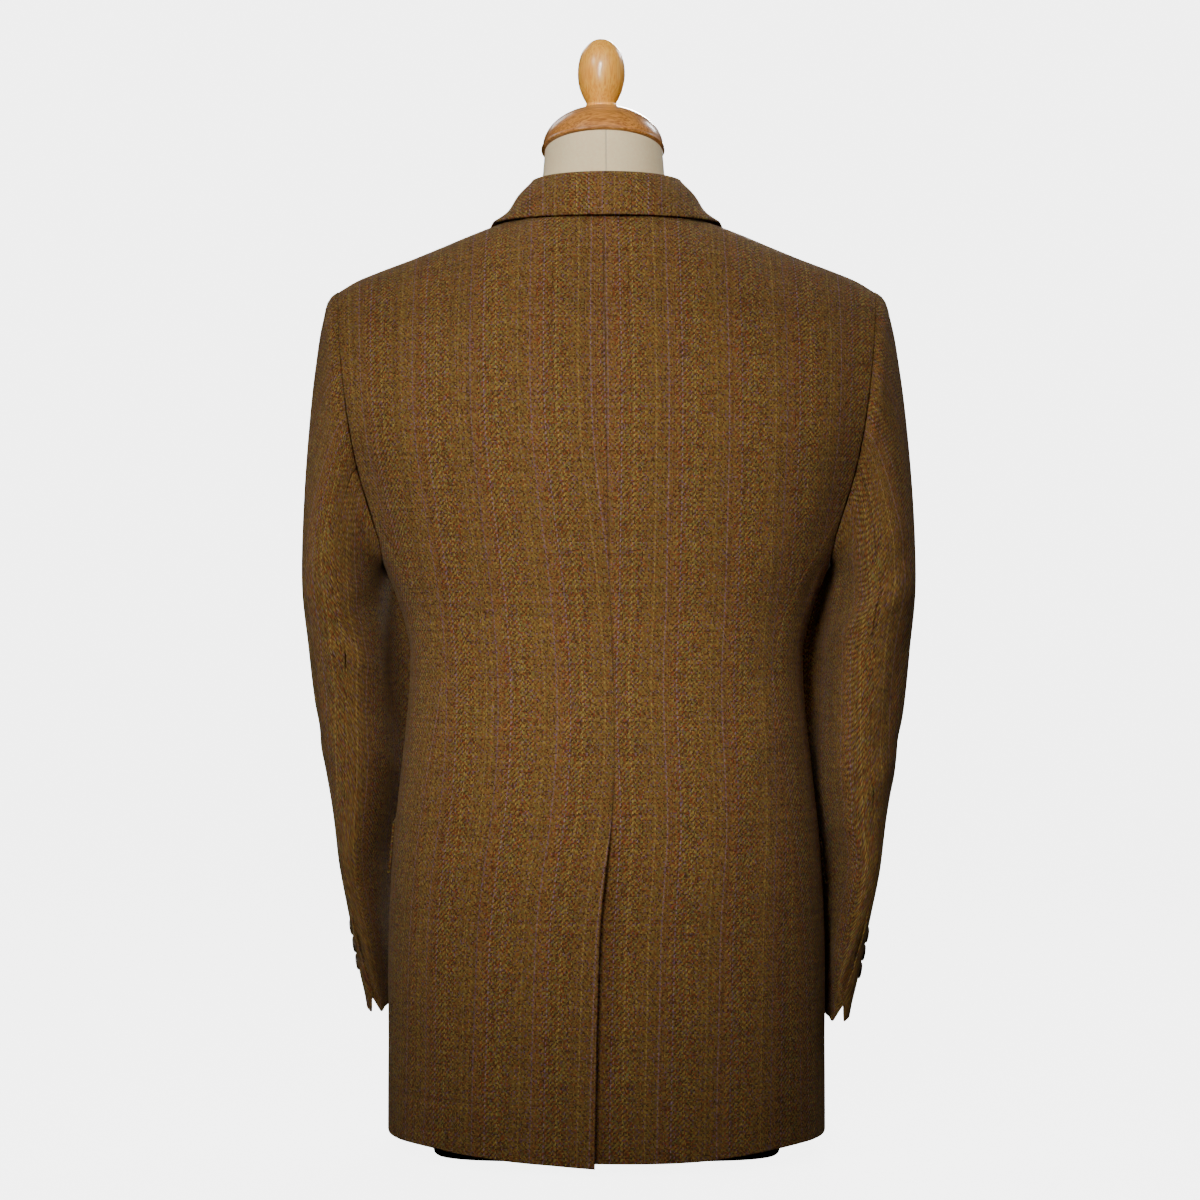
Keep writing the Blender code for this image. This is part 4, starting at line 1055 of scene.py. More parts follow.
def lengths(net, axis):
    """Length along each column (axis 0) or row (axis 1) of a net, from its first point."""
    gaps = np.linalg.norm(np.diff(net, axis=axis), axis=2)
    return np.insert(np.cumsum(gaps, axis=axis), 0, 0.0, axis=axis)


def up_the_cloth(net, level):
    """Height, and above this level the length up the cloth."""
    climb = lengths(net, 0)
    start = np.array([np.interp(level, net[:, j, 2], climb[:, j]) for j in range(net.shape[1])])
    return np.where(net[..., 2] < level, net[..., 2], level + climb - start)


def round_the_body(net):
    """Length along each row from its first point, level with the floor."""
    return lengths(net[..., :2], 1)


def body_pattern(net, level):
    """Width and height of cloth, u growing away from the centre line."""
    x = net[..., 0]
    arc = round_the_body(net)
    if x[0, 0] > x[0, -1]:
        arc = arc[:, -1:] - arc
        extra = arc - (x - x[:, -1:])
    else:
        extra = arc - (x - x[:, :1])
    at_level = int(np.argmin(abs(net[:, 0, 2] - level)))
    rows = np.arange(len(net))
    share = np.clip((rows - at_level) / (len(net) - 1 - at_level), 0, 1)[:, None]
    extra = np.where(share > 0, extra[at_level] * (1 - share), extra)
    return np.dstack((x + extra, up_the_cloth(net, level)))

# %% [markdown]
# ## Back
# The back is cut in two halves, sewn down the middle as far as the vent. Below it the left half laps over a
# strip of the right one. Over the shoulder blades it has to leave the body's level sections and turn
# forward to the shoulder seam, so above the chest each column is one curve from the blade to its own point
# of the neckline or the shoulder.

# %% Back
UNDERLAP_START, UNDERLAP_RUN = 0.0115, 0.014  # above the vent's top, where the right half grows wider
EDGE_STAND, EDGE_STAND_WIDTH, EDGE_STAND_RUN = 0.0045, 0.060, 0.26  # the left half beside the vent
PASS_START, PASS_RUN = 0.0405, 0.028  # above the vent's top, where the right half sinks under the left
PASS_EDGE, PASS_WIDTH = 0.030, 0.024


def centre_edge(side, z):
    """Local x of the back's inner edge: the centre seam, and below it the vent."""
    line = CENTRE_BACK["x"](z)
    if side == LEFT:
        return line
    under = ease((VENT_TOP + UNDERLAP_START - z) / UNDERLAP_RUN)
    return -(line + VENT_UNDERLAP * under)


def back_offset(side, x, z):
    """Out of the body: the left vent edge stands off, the right one passes under it."""
    world_x = side * x
    line = CENTRE_BACK["x"](z)
    if side == LEFT:
        below = ease((VENT_TOP - z) / EDGE_STAND_RUN)
        return EDGE_STAND * below * ease(1 - (world_x - line) / EDGE_STAND_WIDTH) ** 2
    below = ease((VENT_TOP + PASS_START - z) / PASS_RUN)
    return -(CLOTH + LIFT) * below * ease((world_x - line + PASS_EDGE) / PASS_WIDTH)


def outward(x, z, back):
    """Unit normal of the body's section at this x."""
    step = 0.001
    surface = back_point if back else front_point
    aside = surface(x + step, z) - surface(x - step, z)
    up = surface(x, z + step) - surface(x, z - step)
    normal = np.cross(up, aside) if back else np.cross(aside, up)
    return normal / np.linalg.norm(normal)

# %% Over the shoulder blades
UPPER_BACK = smooth_table(  # how the back arrives at its top edge
    "share reach_y reach_z",
    (
        (0.00, -0.090, 0.180),
        (0.17, -0.145, 0.100),
        (0.375, -0.270, -0.010),
        (0.60, -0.205, 0.004),
        (1.00, -0.105, 0.010),
    ),
)


def over_shoulder(surface, side, across, level, top, reach, share):
    """Point of the curve that leaves a panel's level sections and turns to this point of its top edge."""
    step = 0.002
    start = surface(side, across, level, False)
    before = surface(side, across, level - step, False)
    leave = (start - before) / step * (top[2] - start[2])
    arrive = np.array((0.0, reach["reach_y"](across), reach["reach_z"](across)))
    return hermite(start, leave, top, arrive, share)


def back_surface(side, across, z_or_turn, upper):
    """Outer face of a back: z_or_turn is a height below BLADE, or the share of the turn above it."""
    if not upper:
        z = z_or_turn
        start = centre_edge(side, z)
        x = start + (BACK_EDGE["x"](z) - start) * across
        point = back_point(x, z)
        return point + outward(x, z, True) * back_offset(side, x, z)
    if across < NECK_SHARE:
        top = neckline(across / NECK_SHARE)
        top[0] += side * CENTRE_BACK["x"](NAPE[2]) * (1 - across / NECK_SHARE)
    else:
        top = shoulder_seam((across - NECK_SHARE) / (1 - NECK_SHARE))
    return over_shoulder(back_surface, side, across, BLADE, top, UPPER_BACK, z_or_turn)


VENT_ROWS = (0.505, 0.5125, 0.5275, 0.535, 0.5425, 0.555, 0.5625, 0.57, 0.585)  # more, where the vent starts


def back_net(side, rows=ALL_ROWS):
    """Rows 0 to 1 rise to the armhole, 1 to 2 to the blade, and 2 to 3 turn over the shoulder."""

    def point(across, row):
        if row > 2:
            return back_surface(side, across, row - 2, True)
        if row > 1:
            z = BACK_ARMHOLE + (BLADE - BACK_ARMHOLE) * (row - 1)
            return back_surface(side, across, z, False)
        edge = centre_edge(side, 0.05)
        x = edge + (BACK_EDGE["x"](0.0) - edge) * across
        hem = hem_height(x) + (0.0 if side == LEFT else 0.0025 * ease(1 - x / 0.1))
        return back_surface(side, across, hem + (BACK_ARMHOLE - hem) * row, False)

    return net_of(point, np.linspace(0, 1, BACK_COLUMNS + 1), rows)

# %% [markdown]
# ## Side body
# Under each arm a narrow panel joins back and front. It spares the jacket a side seam, and its top is the
# bottom of the armhole. It lies on the level sections alone, so it is the plainest net of all.

# %% Side body
def side_net():
    """Rows from the hem to the underarm, columns from the back seam to the front seam."""

    def point(across, share):
        z = SIDE_HEM + (armhole_height(across) - SIDE_HEM) * share
        angle = back_angle(z) + (front_angle(z) - back_angle(z)) * across
        return section_point(angle, z)

    return net_of(point, np.linspace(0, 1, SIDE_COLUMNS + 1), LOWER_ROWS)

# %% [markdown]
# ## Front
# Each front runs from the side body to a free edge that curves away below the last button and folds back
# above the first. The left one lies over the right, so it is lifted by the cloth below it, more where the
# right lapel lies between them.

# %% Front
OVERLAP_X, OVERLAP_TOP, OVERLAP_RUN = 0.095, 0.690, 0.080  # where the left front comes back to the body
OVERLAP_SPARE = 0.0003
OVER_LAPEL_FROM, OVER_LAPEL_RUN = 0.440, 0.050  # heights where it starts to pass over the right lapel
OVER_LAPEL = CLOTH + 0.0024  # how much higher it lies there


def roll_line(z):
    """Local x of the fold of the lapel."""
    share = (z - BREAK) / (NECK_POINT[2] - BREAK)
    return -FRONT_LAP + (NECK_POINT[0] + FRONT_LAP) * share


def front_edge(z):
    """Local x of the front's free edge: cutaway, straight edge, then the fold of the lapel."""
    if z > BREAK:
        return roll_line(z)
    down = max((CUTAWAY_TOP - z) / (CUTAWAY_TOP - HEM_BACK), 0.0)
    down = min(down, 1.0)
    return -FRONT_LAP + CUTAWAY_REACH * (1 - (1 - down**2.3) ** 0.55)


def front_offset(side, x, z):
    """The left front lies over the right one, and over its folded lapel near the break."""
    if side == RIGHT:
        return 0.0
    over = ease((OVERLAP_X - x) / OVERLAP_RUN) * ease((OVERLAP_TOP - z) / OVERLAP_RUN)
    lapel = ease((z - OVER_LAPEL_FROM) / OVER_LAPEL_RUN)
    return (CLOTH + LIFT + OVERLAP_SPARE + OVER_LAPEL * lapel) * over


UPPER_FRONT = smooth_table(
    "share reach_y reach_z", ((0.00, 0.105, 0.010), (0.50, 0.170, 0.030), (1.00, 0.150, 0.090))
)


def front_surface(side, across, value, upper):
    """Outer face of a front, across from the side seam or armhole to the free edge."""
    if not upper:
        start = front_edge_x(value)
        x = start + (front_edge(value) - start) * across
        return front_point(x, value) + outward(x, value, False) * front_offset(side, x, value)
    top = shoulder_seam(1 - across)
    return over_shoulder(front_surface, side, across, CHEST, top, UPPER_FRONT, value)


def front_point_at(side, across, row):
    """Point of a front: rows as in the back's net, across from the side seam to the free edge."""
    if row > 2:
        return front_surface(side, across, row - 2, True)
    if row > 1:
        return front_surface(side, across, FRONT_ARMHOLE + (CHEST - FRONT_ARMHOLE) * (row - 1), False)
    return front_surface(side, across, SIDE_HEM + (FRONT_ARMHOLE - SIDE_HEM) * row, False)


def front_net(side):
    columns = np.linspace(0, 1, FRONT_COLUMNS + 1)
    return net_of(lambda across, row: front_point_at(side, across, row), columns, ALL_ROWS)


print(f"the left front stands {front_offset(LEFT, 0.0, BREAK):.4f} m out where the lapel breaks")

# %% [markdown]
# ## Lapel
# The lapel is the top of the front, folded back on itself. Its net is laid on the front's own points, a
# cloth's thickness out, and two columns go round the fold, so that it can't cut into the front.

# %% Lapel
LAPEL_WIDTH = smooth_table(  # by the height of its fold
    "height width",
    (
        (0.505, 0.0040),
        (0.545, 0.0190),
        (0.597, 0.0390),
        (0.650, 0.0570),
        (0.700, 0.0725),
        (0.746, 0.0840),
    ),
)
LAPEL_START = {LEFT: 0.93, RIGHT: 0.98}  # row of the front where the lapel leaves the break
LAPEL_FOLLOWS = (1.0, 1.5, 2.0, 2 + 1 / 6, 2 + 2 / 6)  # rows of the front that the lapel lies on
GORGE_ROW, TIP_ROW = 2.605, 2.500  # rows of the gorge seam at the fold and of the lapel's tip
NOTCH_SHARE = 0.55  # share of the lapel's width that is sewn to the collar
LEAF_CORNER = (0.705, 2.660)  # across and row of the collar's front corner
ROLL = 0.0025  # how far a fold stands out from the edge it goes round


def front_frame(side, across, row):
    """Point, outward normal and the direction towards the centre of a front."""
    step = 0.002
    right = front_point_at(side, min(across + step, 1.0), row)
    left = front_point_at(side, across - step, row)
    above = front_point_at(side, across, row + step)
    below = front_point_at(side, across, row - step)
    normal = unit(np.cross(above - below, right - left))
    return front_point_at(side, across, row), normal, unit(right - left)


def gorge_row(across):
    """Row of the lapel's top edge, from the fold (across 0) to its tip (across 1)."""
    return GORGE_ROW + (TIP_ROW - GORGE_ROW) * across**1.15


def lapel_row(side, step, across):
    """Row of the front under this step of the lapel, 0 at the break and 7 at the top edge."""
    low = (LAPEL_START[side],) + LAPEL_FOLLOWS
    top = gorge_row(across)
    rows = low + (low[-1] + 0.6 * (top - low[-1]), top)
    whole = min(int(step), len(rows) - 2)
    return rows[whole] + (rows[whole + 1] - rows[whole]) * (step - whole)


def lapel_across(side, row):
    """Share of the front's width that the lapel covers at this row."""
    fold = front_point_at(side, 1.0, row)
    length = 2 * np.linalg.norm(fold - front_point_at(side, 0.5, row))
    return LAPEL_WIDTH["width"](fold[2]) / length


def lapel_net(side):
    columns = (0.0, 0.2, 0.4, NOTCH_SHARE, 0.78, 1.0)

    def point(across, step):
        flat = max(across, 0.0)
        turn = -min(across, 0.0) * math.pi / 2  # how far round the fold
        wide = lapel_across(side, lapel_row(side, step, 0.0))
        seat, normal, inward = front_frame(side, 1 - wide * flat, lapel_row(side, step, flat))
        lift = CLOTH + LIFT + 0.0010 * (1 - flat) ** 2 - (CLOTH + 2 * LIFT) * (1 - math.cos(turn))
        return seat + normal * lift + inward * ROLL * math.sin(turn)

    return net_of(point, (-1.0, -0.5) + columns, range(8))

# %% [markdown]
# ## Flap
# A hacking jacket's pocket flaps slant, lower at the back, so that they are handy in the saddle. Each flap
# follows the body's ring at each of its points, and its lower edge hangs a little further out.

# %% Flap
FLAP_COLUMNS, FLAP_ROWS = 7, 4
FLAP_DEPTH = 0.050
FLAP_REAR = math.radians(93)
FLAP_FRONT_X = 0.100
FLAP_TOP = {LEFT: (0.281, 0.322), RIGHT: (0.272, 0.313)}  # heights at the rear and the front
FLAP_LIFT = 0.0007
FLAP_STAND_OFF = 0.0012  # the lower edge hangs this much further out


def flap_net(side):
    """Columns from the rear corner to the front one, rows from the lower edge up."""
    rear_top, front_top = FLAP_TOP[side]
    share = FLAP_FRONT_X / BODY["half_width"](front_top)
    front = math.pi - math.asin(share ** (ROUNDNESS / 2))

    def point(across, down):
        angle = FLAP_REAR + (front - FLAP_REAR) * across
        end = min(across, 1 - across) * (FLAP_COLUMNS - 1)
        depth = FLAP_DEPTH * (1 - 0.12 * (1 - ease(end)))
        z = rear_top + (front_top - rear_top) * across - depth * down
        step = 0.001
        aside = section_point(angle + step, z) - section_point(angle - step, z)
        up = section_point(angle, z + step) - section_point(angle, z - step)
        normal = unit(np.cross(aside, up))
        return section_point(angle, z) - normal * (CLOTH + FLAP_LIFT + FLAP_STAND_OFF * down**2)

    return net_of(point, np.linspace(0, 1, FLAP_COLUMNS), np.linspace(1, 0, FLAP_ROWS))

# %% [markdown]
# ## Laying the panels
# Each panel takes its stripes from its own seam: the back from the centre, the side from its middle, the
# lapel from its outer edge. A tailor matches them across a seam only where it shows, as here across the
# collar.

# %% Patterns of the body's panels
LAPEL_INSET = 0.012  # first gold stripe from the lapel's edge


def back_pattern(side):
    """Stripes counted from the centre back, lost in its seam where that takes cloth out."""

    def pattern(net):
        flat = body_pattern(net, BLADE)
        cut = CENTRE_CUT["left" if side == LEFT else "right"]
        line = np.array([side * CENTRE_BACK["x"](z) - cut(z) for z in net[:, 0, 2]])
        flat[..., 0] -= line[:, None] + STRIPE_FROM_SEAM
        return flat

    return pattern


def front_pattern(net):
    return body_pattern(net, CHEST) - np.array((STRIPE_FROM_SEAM, 0.0))


def side_pattern(net):
    """Stripes counted from the panel's middle."""
    arc = round_the_body(net)
    return np.dstack((arc - arc[:, arc.shape[1] // 2, None], up_the_cloth(net, 1.0)))


def lapel_pattern(net):
    """Stripes counted from the lapel's edge."""
    arc = round_the_body(net)
    return np.dstack((arc[:, -1:] - arc - LAPEL_INSET, up_the_cloth(net, 0.0)))


def flap_pattern(net):
    return np.dstack((round_the_body(net), net[..., 2]))

# %% Lay the body's panels
SMALL_STEP = 0.003  # closer points for the small pieces
for side, word in SIDES:
    back = back_net(side, sorted(ALL_ROWS + VENT_ROWS))
    cut_cloth(f"back_{word}", side, back, 1, ("vent", "seam", "fold", "seam"), back_pattern(side))
    cut_cloth(f"side_{word}", side, side_net(), 1, ("seam", "seam", "fold", "seam"), side_pattern)
    cut_cloth(f"front_{word}", side, front_net(side), 1, ("seam", "fold", "fold", "seam"), front_pattern)
    for kind, net, edges, pattern in (
        ("lapel", lapel_net(side), ("seam", "fold", "seam", "fold"), lapel_pattern),
        ("flap", flap_net(side), ("fold", "fold", "fold", "seam"), flap_pattern),
    ):
        cut_cloth(f"{kind}_{word}", side, net, -1, edges, pattern, SMALL_STEP)

# %% [markdown]
# ## Collar
# One strip makes the stand inside and the fall outside, with a soft bend on top, and it tapers to the notch
# of the lapel. Sections across it, from the centre back round to the front, are easier to shape than its
# outline, because each is the same few points: edge, fall, bend, stand.

# %% Collar
COLLAR_EDGE = (0.1005, 0.0805, 0.8037)  # half width, depth and height of the fall's free edge
COLLAR_TOP = (0.0634, 0.0640, 0.8430)
COLLAR_BASE = (0.0735, 0.0640, 0.8165)
COLLAR_SIDE_EDGE = 0.8053
COLLAR_DRAWN_IN = 0.0012  # how much nearer the neck the edge lies, half way round to the shoulder
BEND = 0.0030  # half thickness of the bend at the top of the collar
FALL_BULGE = 0.0022
FALL_FLARE = 0.0034


def collar_stations(side):
    """(edge, top, base, hollow) from the centre back to the gorge."""
    stations = []
    for degrees in (0, 15, 30, 45, 60, 75, 90):
        angle = math.radians(degrees)
        rings = []
        for wide, deep, height in (COLLAR_EDGE, COLLAR_TOP, COLLAR_BASE):
            x, y = wide * math.sin(angle), deep * math.cos(angle)
            rings.append(np.array((x, NECK_POINT[1] + y, height)))
        drawn_in = COLLAR_DRAWN_IN * math.sin(2 * angle) ** 2
        rings[0][:2] -= np.array((math.sin(angle), math.cos(angle))) * drawn_in
        rings[0][2] += (COLLAR_SIDE_EDGE - COLLAR_EDGE[2]) * math.sin(angle) ** 2
        stations.append((*rings, ease((degrees - 30) / 60)))
    front = (  # across and row of the edge, then the top, the base and the hollow
        (0.803, 2.880, (0.0655, -0.0200, 0.8240), (0.0690, -0.0190, 0.8010), 0.6),
        (0.752, 2.770, (0.0662, -0.0400, 0.7990), (0.0665, -0.0390, 0.7780), 0.3),
        (0.722, 2.700, (0.0650, -0.0540, 0.7790), (0.0640, -0.0530, 0.7640), 0.0),
        (0.711, 2.675, (0.0635, -0.0625, 0.7630), (0.0620, -0.0610, 0.7530), 0.0),
    )
    for across, row, top, base, hollow in front:
        point, normal, _ = front_frame(side, across, row)
        stations.append((point + normal * (CLOTH + LIFT), np.array(top), np.array(base), hollow))
    return stations


def collar_section(edge, top, base, hollow):
    """Points from the fall's free edge over the top and down the stand. hollow says how far the fall
    curves in above its edge instead of out, from 0 to 1."""
    out = unit((edge - top) * np.array((1.0, 1.0, 0.0)))
    normal = unit(out * 0.55 + np.array((0.0, 0.0, 0.8)))
    crest_out = top + out * BEND - np.array((0, 0, BEND))
    crest_in = top - out * BEND - np.array((0, 0, BEND))
    points = [edge]
    for share, flare in ((1 / 3, FALL_FLARE), (2 / 3, 0.0)):
        bulge = FALL_BULGE * math.sin(share * math.pi) * (1 - hollow) - flare * hollow
        points.append(edge + (crest_out - edge) * share + normal * bulge)
    return points + [crest_out, top, crest_in, (crest_in + base) / 2, base]


def collar_end(side):
    """The leaf's front corner, the notch, the gorge seam, and round the fold."""
    seam = 0.0015  # a seam's gap, in rows
    wide = lapel_across(side, GORGE_ROW)
    seats = [front_frame(side, *LEAF_CORNER)]
    for flat in (NOTCH_SHARE, 0.3, 0.08):
        seats.append(front_frame(side, 1 - wide * flat, gorge_row(flat) + seam))
    lifts = (0.0, 0.0001, 0.0003, 0.0008)
    points = [seat + normal * (CLOTH + LIFT + up) for (seat, normal, _), up in zip(seats, lifts)]
    seat, normal, inward = front_frame(side, 1.0, GORGE_ROW + seam)
    for out, up in ((0.60, 0.0026), (1.15, 0.0008), (1.2, -0.0020), (0.9, -0.0050)):
        points.append(seat + inward * ROLL * out + normal * up)
    return points


def collar_net():
    """Sections from the right gorge round the neck to the left one."""
    half = {}
    for side in (LEFT, RIGHT):
        sections = [collar_section(*station) for station in collar_stations(side)]
        sections.append(collar_end(side))
        half[side] = mirrored(np.array(sections), side)
    return np.concatenate((half[RIGHT][:0:-1], half[LEFT]))

# %% Lay the collar
COLLAR_LEVEL = 0.085  # the collar runs from side to side as far as this from the centre back


def collar_pattern(net):
    """u is the place from side to side, so that the collar's stripes meet those of the back."""
    round_neck = knots(net)
    middle = len(round_neck) // 2
    deep = np.clip(abs(round_neck - round_neck[middle]) - COLLAR_LEVEL, 0, None)
    u = net[..., 0] + (np.sign(round_neck - round_neck[middle]) * deep)[:, None]
    return np.dstack((u - CENTRE_BACK["x"](NAPE[2]) - STRIPE_FROM_SEAM, lengths(net, 1)))


edges = ("fold", "seam", "seam", "seam")
cut_cloth("collar", 1, collar_net(), -1, edges, collar_pattern, SMALL_STEP)

# %% [markdown]
# ## Sleeve
# A sleeve is a tube of two panels: the top sleeve, seen from outside, and the narrower under sleeve. It
# hangs from the slanted armhole and soon becomes a level ring, so it is lofted in two lengths: a cap of
# curves from the armhole to that ring, and below it a stack of rings that turn forward to the cuff.

# %% Armhole
BACK_TURN, UNDER_TURN = 125.0, 110.0  # degrees of the sleeve's ring that the back and underarm take
HINDARM, FOREARM = 7, 15  # columns of the sleeve's two seams


def armhole_loop(side):
    """Outer points of the armhole from the shoulder tip down the back and up the front, with the
    ring angle in degrees that each belongs to."""
    rows = [row for row in ALL_ROWS if row >= 1]
    back, front, body = back_net(side), front_net(side), side_net()
    first = len(ALL_ROWS) - len(rows)
    down = [back[i, -1] for i in range(len(ALL_ROWS) - 1, first - 1, -1)]
    under = [body[-1, column] for column in range(1, SIDE_COLUMNS + 1)]
    up = [front[i, 0] for i in range(first + 1, len(ALL_ROWS) - 1)]
    step = BACK_TURN / (len(down) - 1)
    angles = [step * i for i in range(len(down))]
    angles += [BACK_TURN + UNDER_TURN * i / SIDE_COLUMNS for i in range(1, SIDE_COLUMNS + 1)]
    angles += [BACK_TURN + UNDER_TURN + step * (i + 1) for i in range(len(up))]
    return np.array(down + under + up), np.array(angles)


armhole = armhole_loop(LEFT)[0]
print(f"armhole {np.linalg.norm(np.diff(armhole, axis=0), axis=1).sum():.3f} m round")

# %% Sleeve
CAP_ROWS = (0.0, 0.12, 0.26, 0.42, 0.60, 0.80, 1.0)
TUBE_ROWS = (0.16, 0.31, 0.43, 0.54, 0.65, 0.75, 0.84, 0.92, 0.97, 1.0)
HOLLOW_AT = math.radians(168)  # where round the sleeve its inner hollow is deepest
HOLLOW_REACH = math.radians(90 / 1.6)  # how far round from there it fades out


def sleeve_ring(side, degrees, z):
    """Point of the hanging sleeve at this height."""
    out = RIGHT_SLEEVE_OUT["x"](z) if side == RIGHT else 0.0
    half_thick, half_depth = SLEEVE["half_thick"](z) + out / 2, SLEEVE["half_depth"](z)
    turn = math.radians(SLEEVE["turn"](z))
    angle = math.radians(degrees + SLEEVE_DRIFT["degrees"](z))
    x, y = oval(angle, half_thick, half_depth, 2 / SLEEVE["power"](z))
    reach = math.hypot(half_thick * math.cos(turn), half_depth * math.sin(turn))
    centre_x = SLEEVE["outer"](z) + out - reach
    turned_x = x * math.cos(turn) + y * math.sin(turn)
    turned_y = y * math.cos(turn) - x * math.sin(turn)
    away = min(abs(angle - HOLLOW_AT) / HOLLOW_REACH, 1.0)
    turned_y -= SLEEVE["hollow"](z) * math.cos(away * math.pi / 2) ** 2
    return np.array((centre_x + turned_x, SLEEVE["centre_y"](z) + turned_y, z))


def tube_point(side, degrees, share):
    """Point of the plain part of the sleeve, from its top ring (share 0) to the cuff (share 1)."""
    point = sleeve_ring(side, degrees, SLEEVE_TOP_RING + (CUFF - SLEEVE_TOP_RING) * share)
    forward = SLEEVE["centre_y"](CUFF) + SLEEVE["half_depth"](CUFF) - point[1]
    drop = RIGHT_CUFF_DROP if side == RIGHT else 0.0
    point[2] += CUFF_TILT * forward * share**2 - drop * share
    return point


def cap_point(side, start, degrees, share):
    """Point of the sleeve head, from the armhole (share 0) to the sleeve's top ring (share 1)."""
    angle = math.radians(degrees)
    leave = unit(np.array((0.90, 0.30 * math.sin(angle), 0.15 * math.cos(angle))))
    end = sleeve_ring(side, degrees, SLEEVE_TOP_RING)
    span = np.linalg.norm(end - start)
    arrive = np.array((0.0, 0.0, -1.2 * max(start[2] - end[2], 0.012)))
    return hermite(start + leave * SEAM, leave * (0.22 * span + 0.004), end, arrive, share)


def sleeve_net(side):
    """Rings from the armhole down to the cuff, raised to a V where the hind seam is open."""
    loop, angles = armhole_loop(side)
    rings = []
    for share in CAP_ROWS:
        rings.append([cap_point(side, start, degrees, share) for start, degrees in zip(loop, angles)])
    for share in TUBE_ROWS:
        rings.append([tube_point(side, degrees, share) for degrees in angles])
    points = np.array(rings)
    for row, share in enumerate(TUBE_ROWS, len(CAP_ROWS)):
        up = NOTCH / (SLEEVE_TOP_RING - CUFF) * ease((share - 0.90) / 0.10)
        points[row, HINDARM] = tube_point(side, angles[HINDARM], share - up)
    return points

# %% Lay the sleeves
HIND_DEGREES, FORE_DEGREES = 109.4, 250.6  # where round the sleeve's ring its two seams are
BACK_LINE = 90.0  # the stripes are counted from here


def sleeve_pattern(angles, zero_at):
    """u from the line that runs down the sleeve's back, v the length of the sleeve."""

    def pattern(net):
        arc = lengths(net, 1)
        share = np.linspace(0, 1, net.shape[1])
        degrees = angles[0] + (angles[-1] - angles[0]) * share
        line = np.array([SLEEVE_DRIFT["degrees"](z) if z < SLEEVE_TOP_RING else 0.0 for z in net[:, 0, 2]])
        zero = np.array([np.interp(zero_at - d, degrees, row) for d, row in zip(line, arc)])
        return np.dstack((arc - zero[:, None], up_the_cloth(net[::-1], 0.0)[::-1]))

    return pattern


for side, word in SIDES:
    ring = sleeve_net(side)
    columns = ring.shape[1]
    under = list(range(HINDARM, FOREARM + 1))
    top = [column % columns for column in range(FOREARM, HINDARM + columns + 1)]
    for piece, picked, span, zero_at, edges in (
        ("top_sleeve", top, (FORE_DEGREES, HIND_DEGREES + 360), BACK_LINE + 360, ("seam", "cuff_top")),
        ("under_sleeve", under, (HIND_DEGREES, FORE_DEGREES), BACK_LINE, ("cuff_under", "seam")),
    ):
        edges += ("fold", "seam")
        cut_cloth(f"{piece}_{word}", side, ring[::-1, picked], -1, edges, sleeve_pattern(span, zero_at))

# %% [markdown]
# ## Wood
# The form's cap, knob and board are beech under varnish: short fine streaks along the grain, broad figure
# where the lathe cut across it, and a clear coat over all. Noise stretched along the grain gives both, and
# the coat is the shader's own.

# %% Wood
def wood_material(name, along_grain, tones, streak=1.0):
    """Varnished wood. along_grain stretches the streaks, x, y, z, and tones go from dark to light."""
    made, tree, shader = new_material(name)
    laid = tree.nodes.new("ShaderNodeMapping")
    laid.inputs["Scale"].default_value = along_grain
    laid.inputs["Rotation"].default_value = (0.05, 0.22, 0.1)
    tree.links.new(object_place(tree), laid.inputs["Vector"])
    fine = noise(tree, laid.outputs[0], 7.0, 4.0, 0.6)
    broad = noise(tree, laid.outputs[0], 1.3)
    rings = maths(tree, "SINE", times(tree, broad, 34.0))
    figure = plus(tree, times(tree, fine, 0.62 * streak), times(tree, rings, 0.07))
    figure = plus(tree, figure, 0.5 - 0.31 * streak)
    looks = {
        "Base Color": ramped(tree, figure, list(zip((0.36, 0.50, 0.64), tones))),
        "Roughness": plus(tree, 0.30, times(tree, fine, 0.15)),
        "Coat Weight": 0.55,
        "Coat Roughness": 0.16,
    }
    set_inputs(tree, shader, looks)
    bumped(tree, shader, fine, 0.25, 0.0002)
    return made


KNOB_TONES = ((0.80, 0.290, 0.030), (0.96, 0.420, 0.052), (1.0, 0.54, 0.085))
CAP_TONES = ((0.31, 0.100, 0.018), (0.53, 0.205, 0.040), (0.70, 0.305, 0.070))
KNOB_WOOD = wood_material("knob_beech", (130, 130, 12), KNOB_TONES)
CAP_WOOD = wood_material("cap_beech", (16, 150, 110), CAP_TONES, 1.2)
print("beech for the knob and the cap")

# %% [markdown]
# ## Linen
# The torso is covered in plain linen, sewn up the centre back. Two sine waves across each other are enough
# for a weave this fine, noise gives the slubs and a faint stain, and the seam is a line where x is nearly 0.

# %% Linen
LINEN_THREAD = 0.0009  # metres from one thread to the next
LINEN_SEAM = 0.0005  # where across the torso its seam is


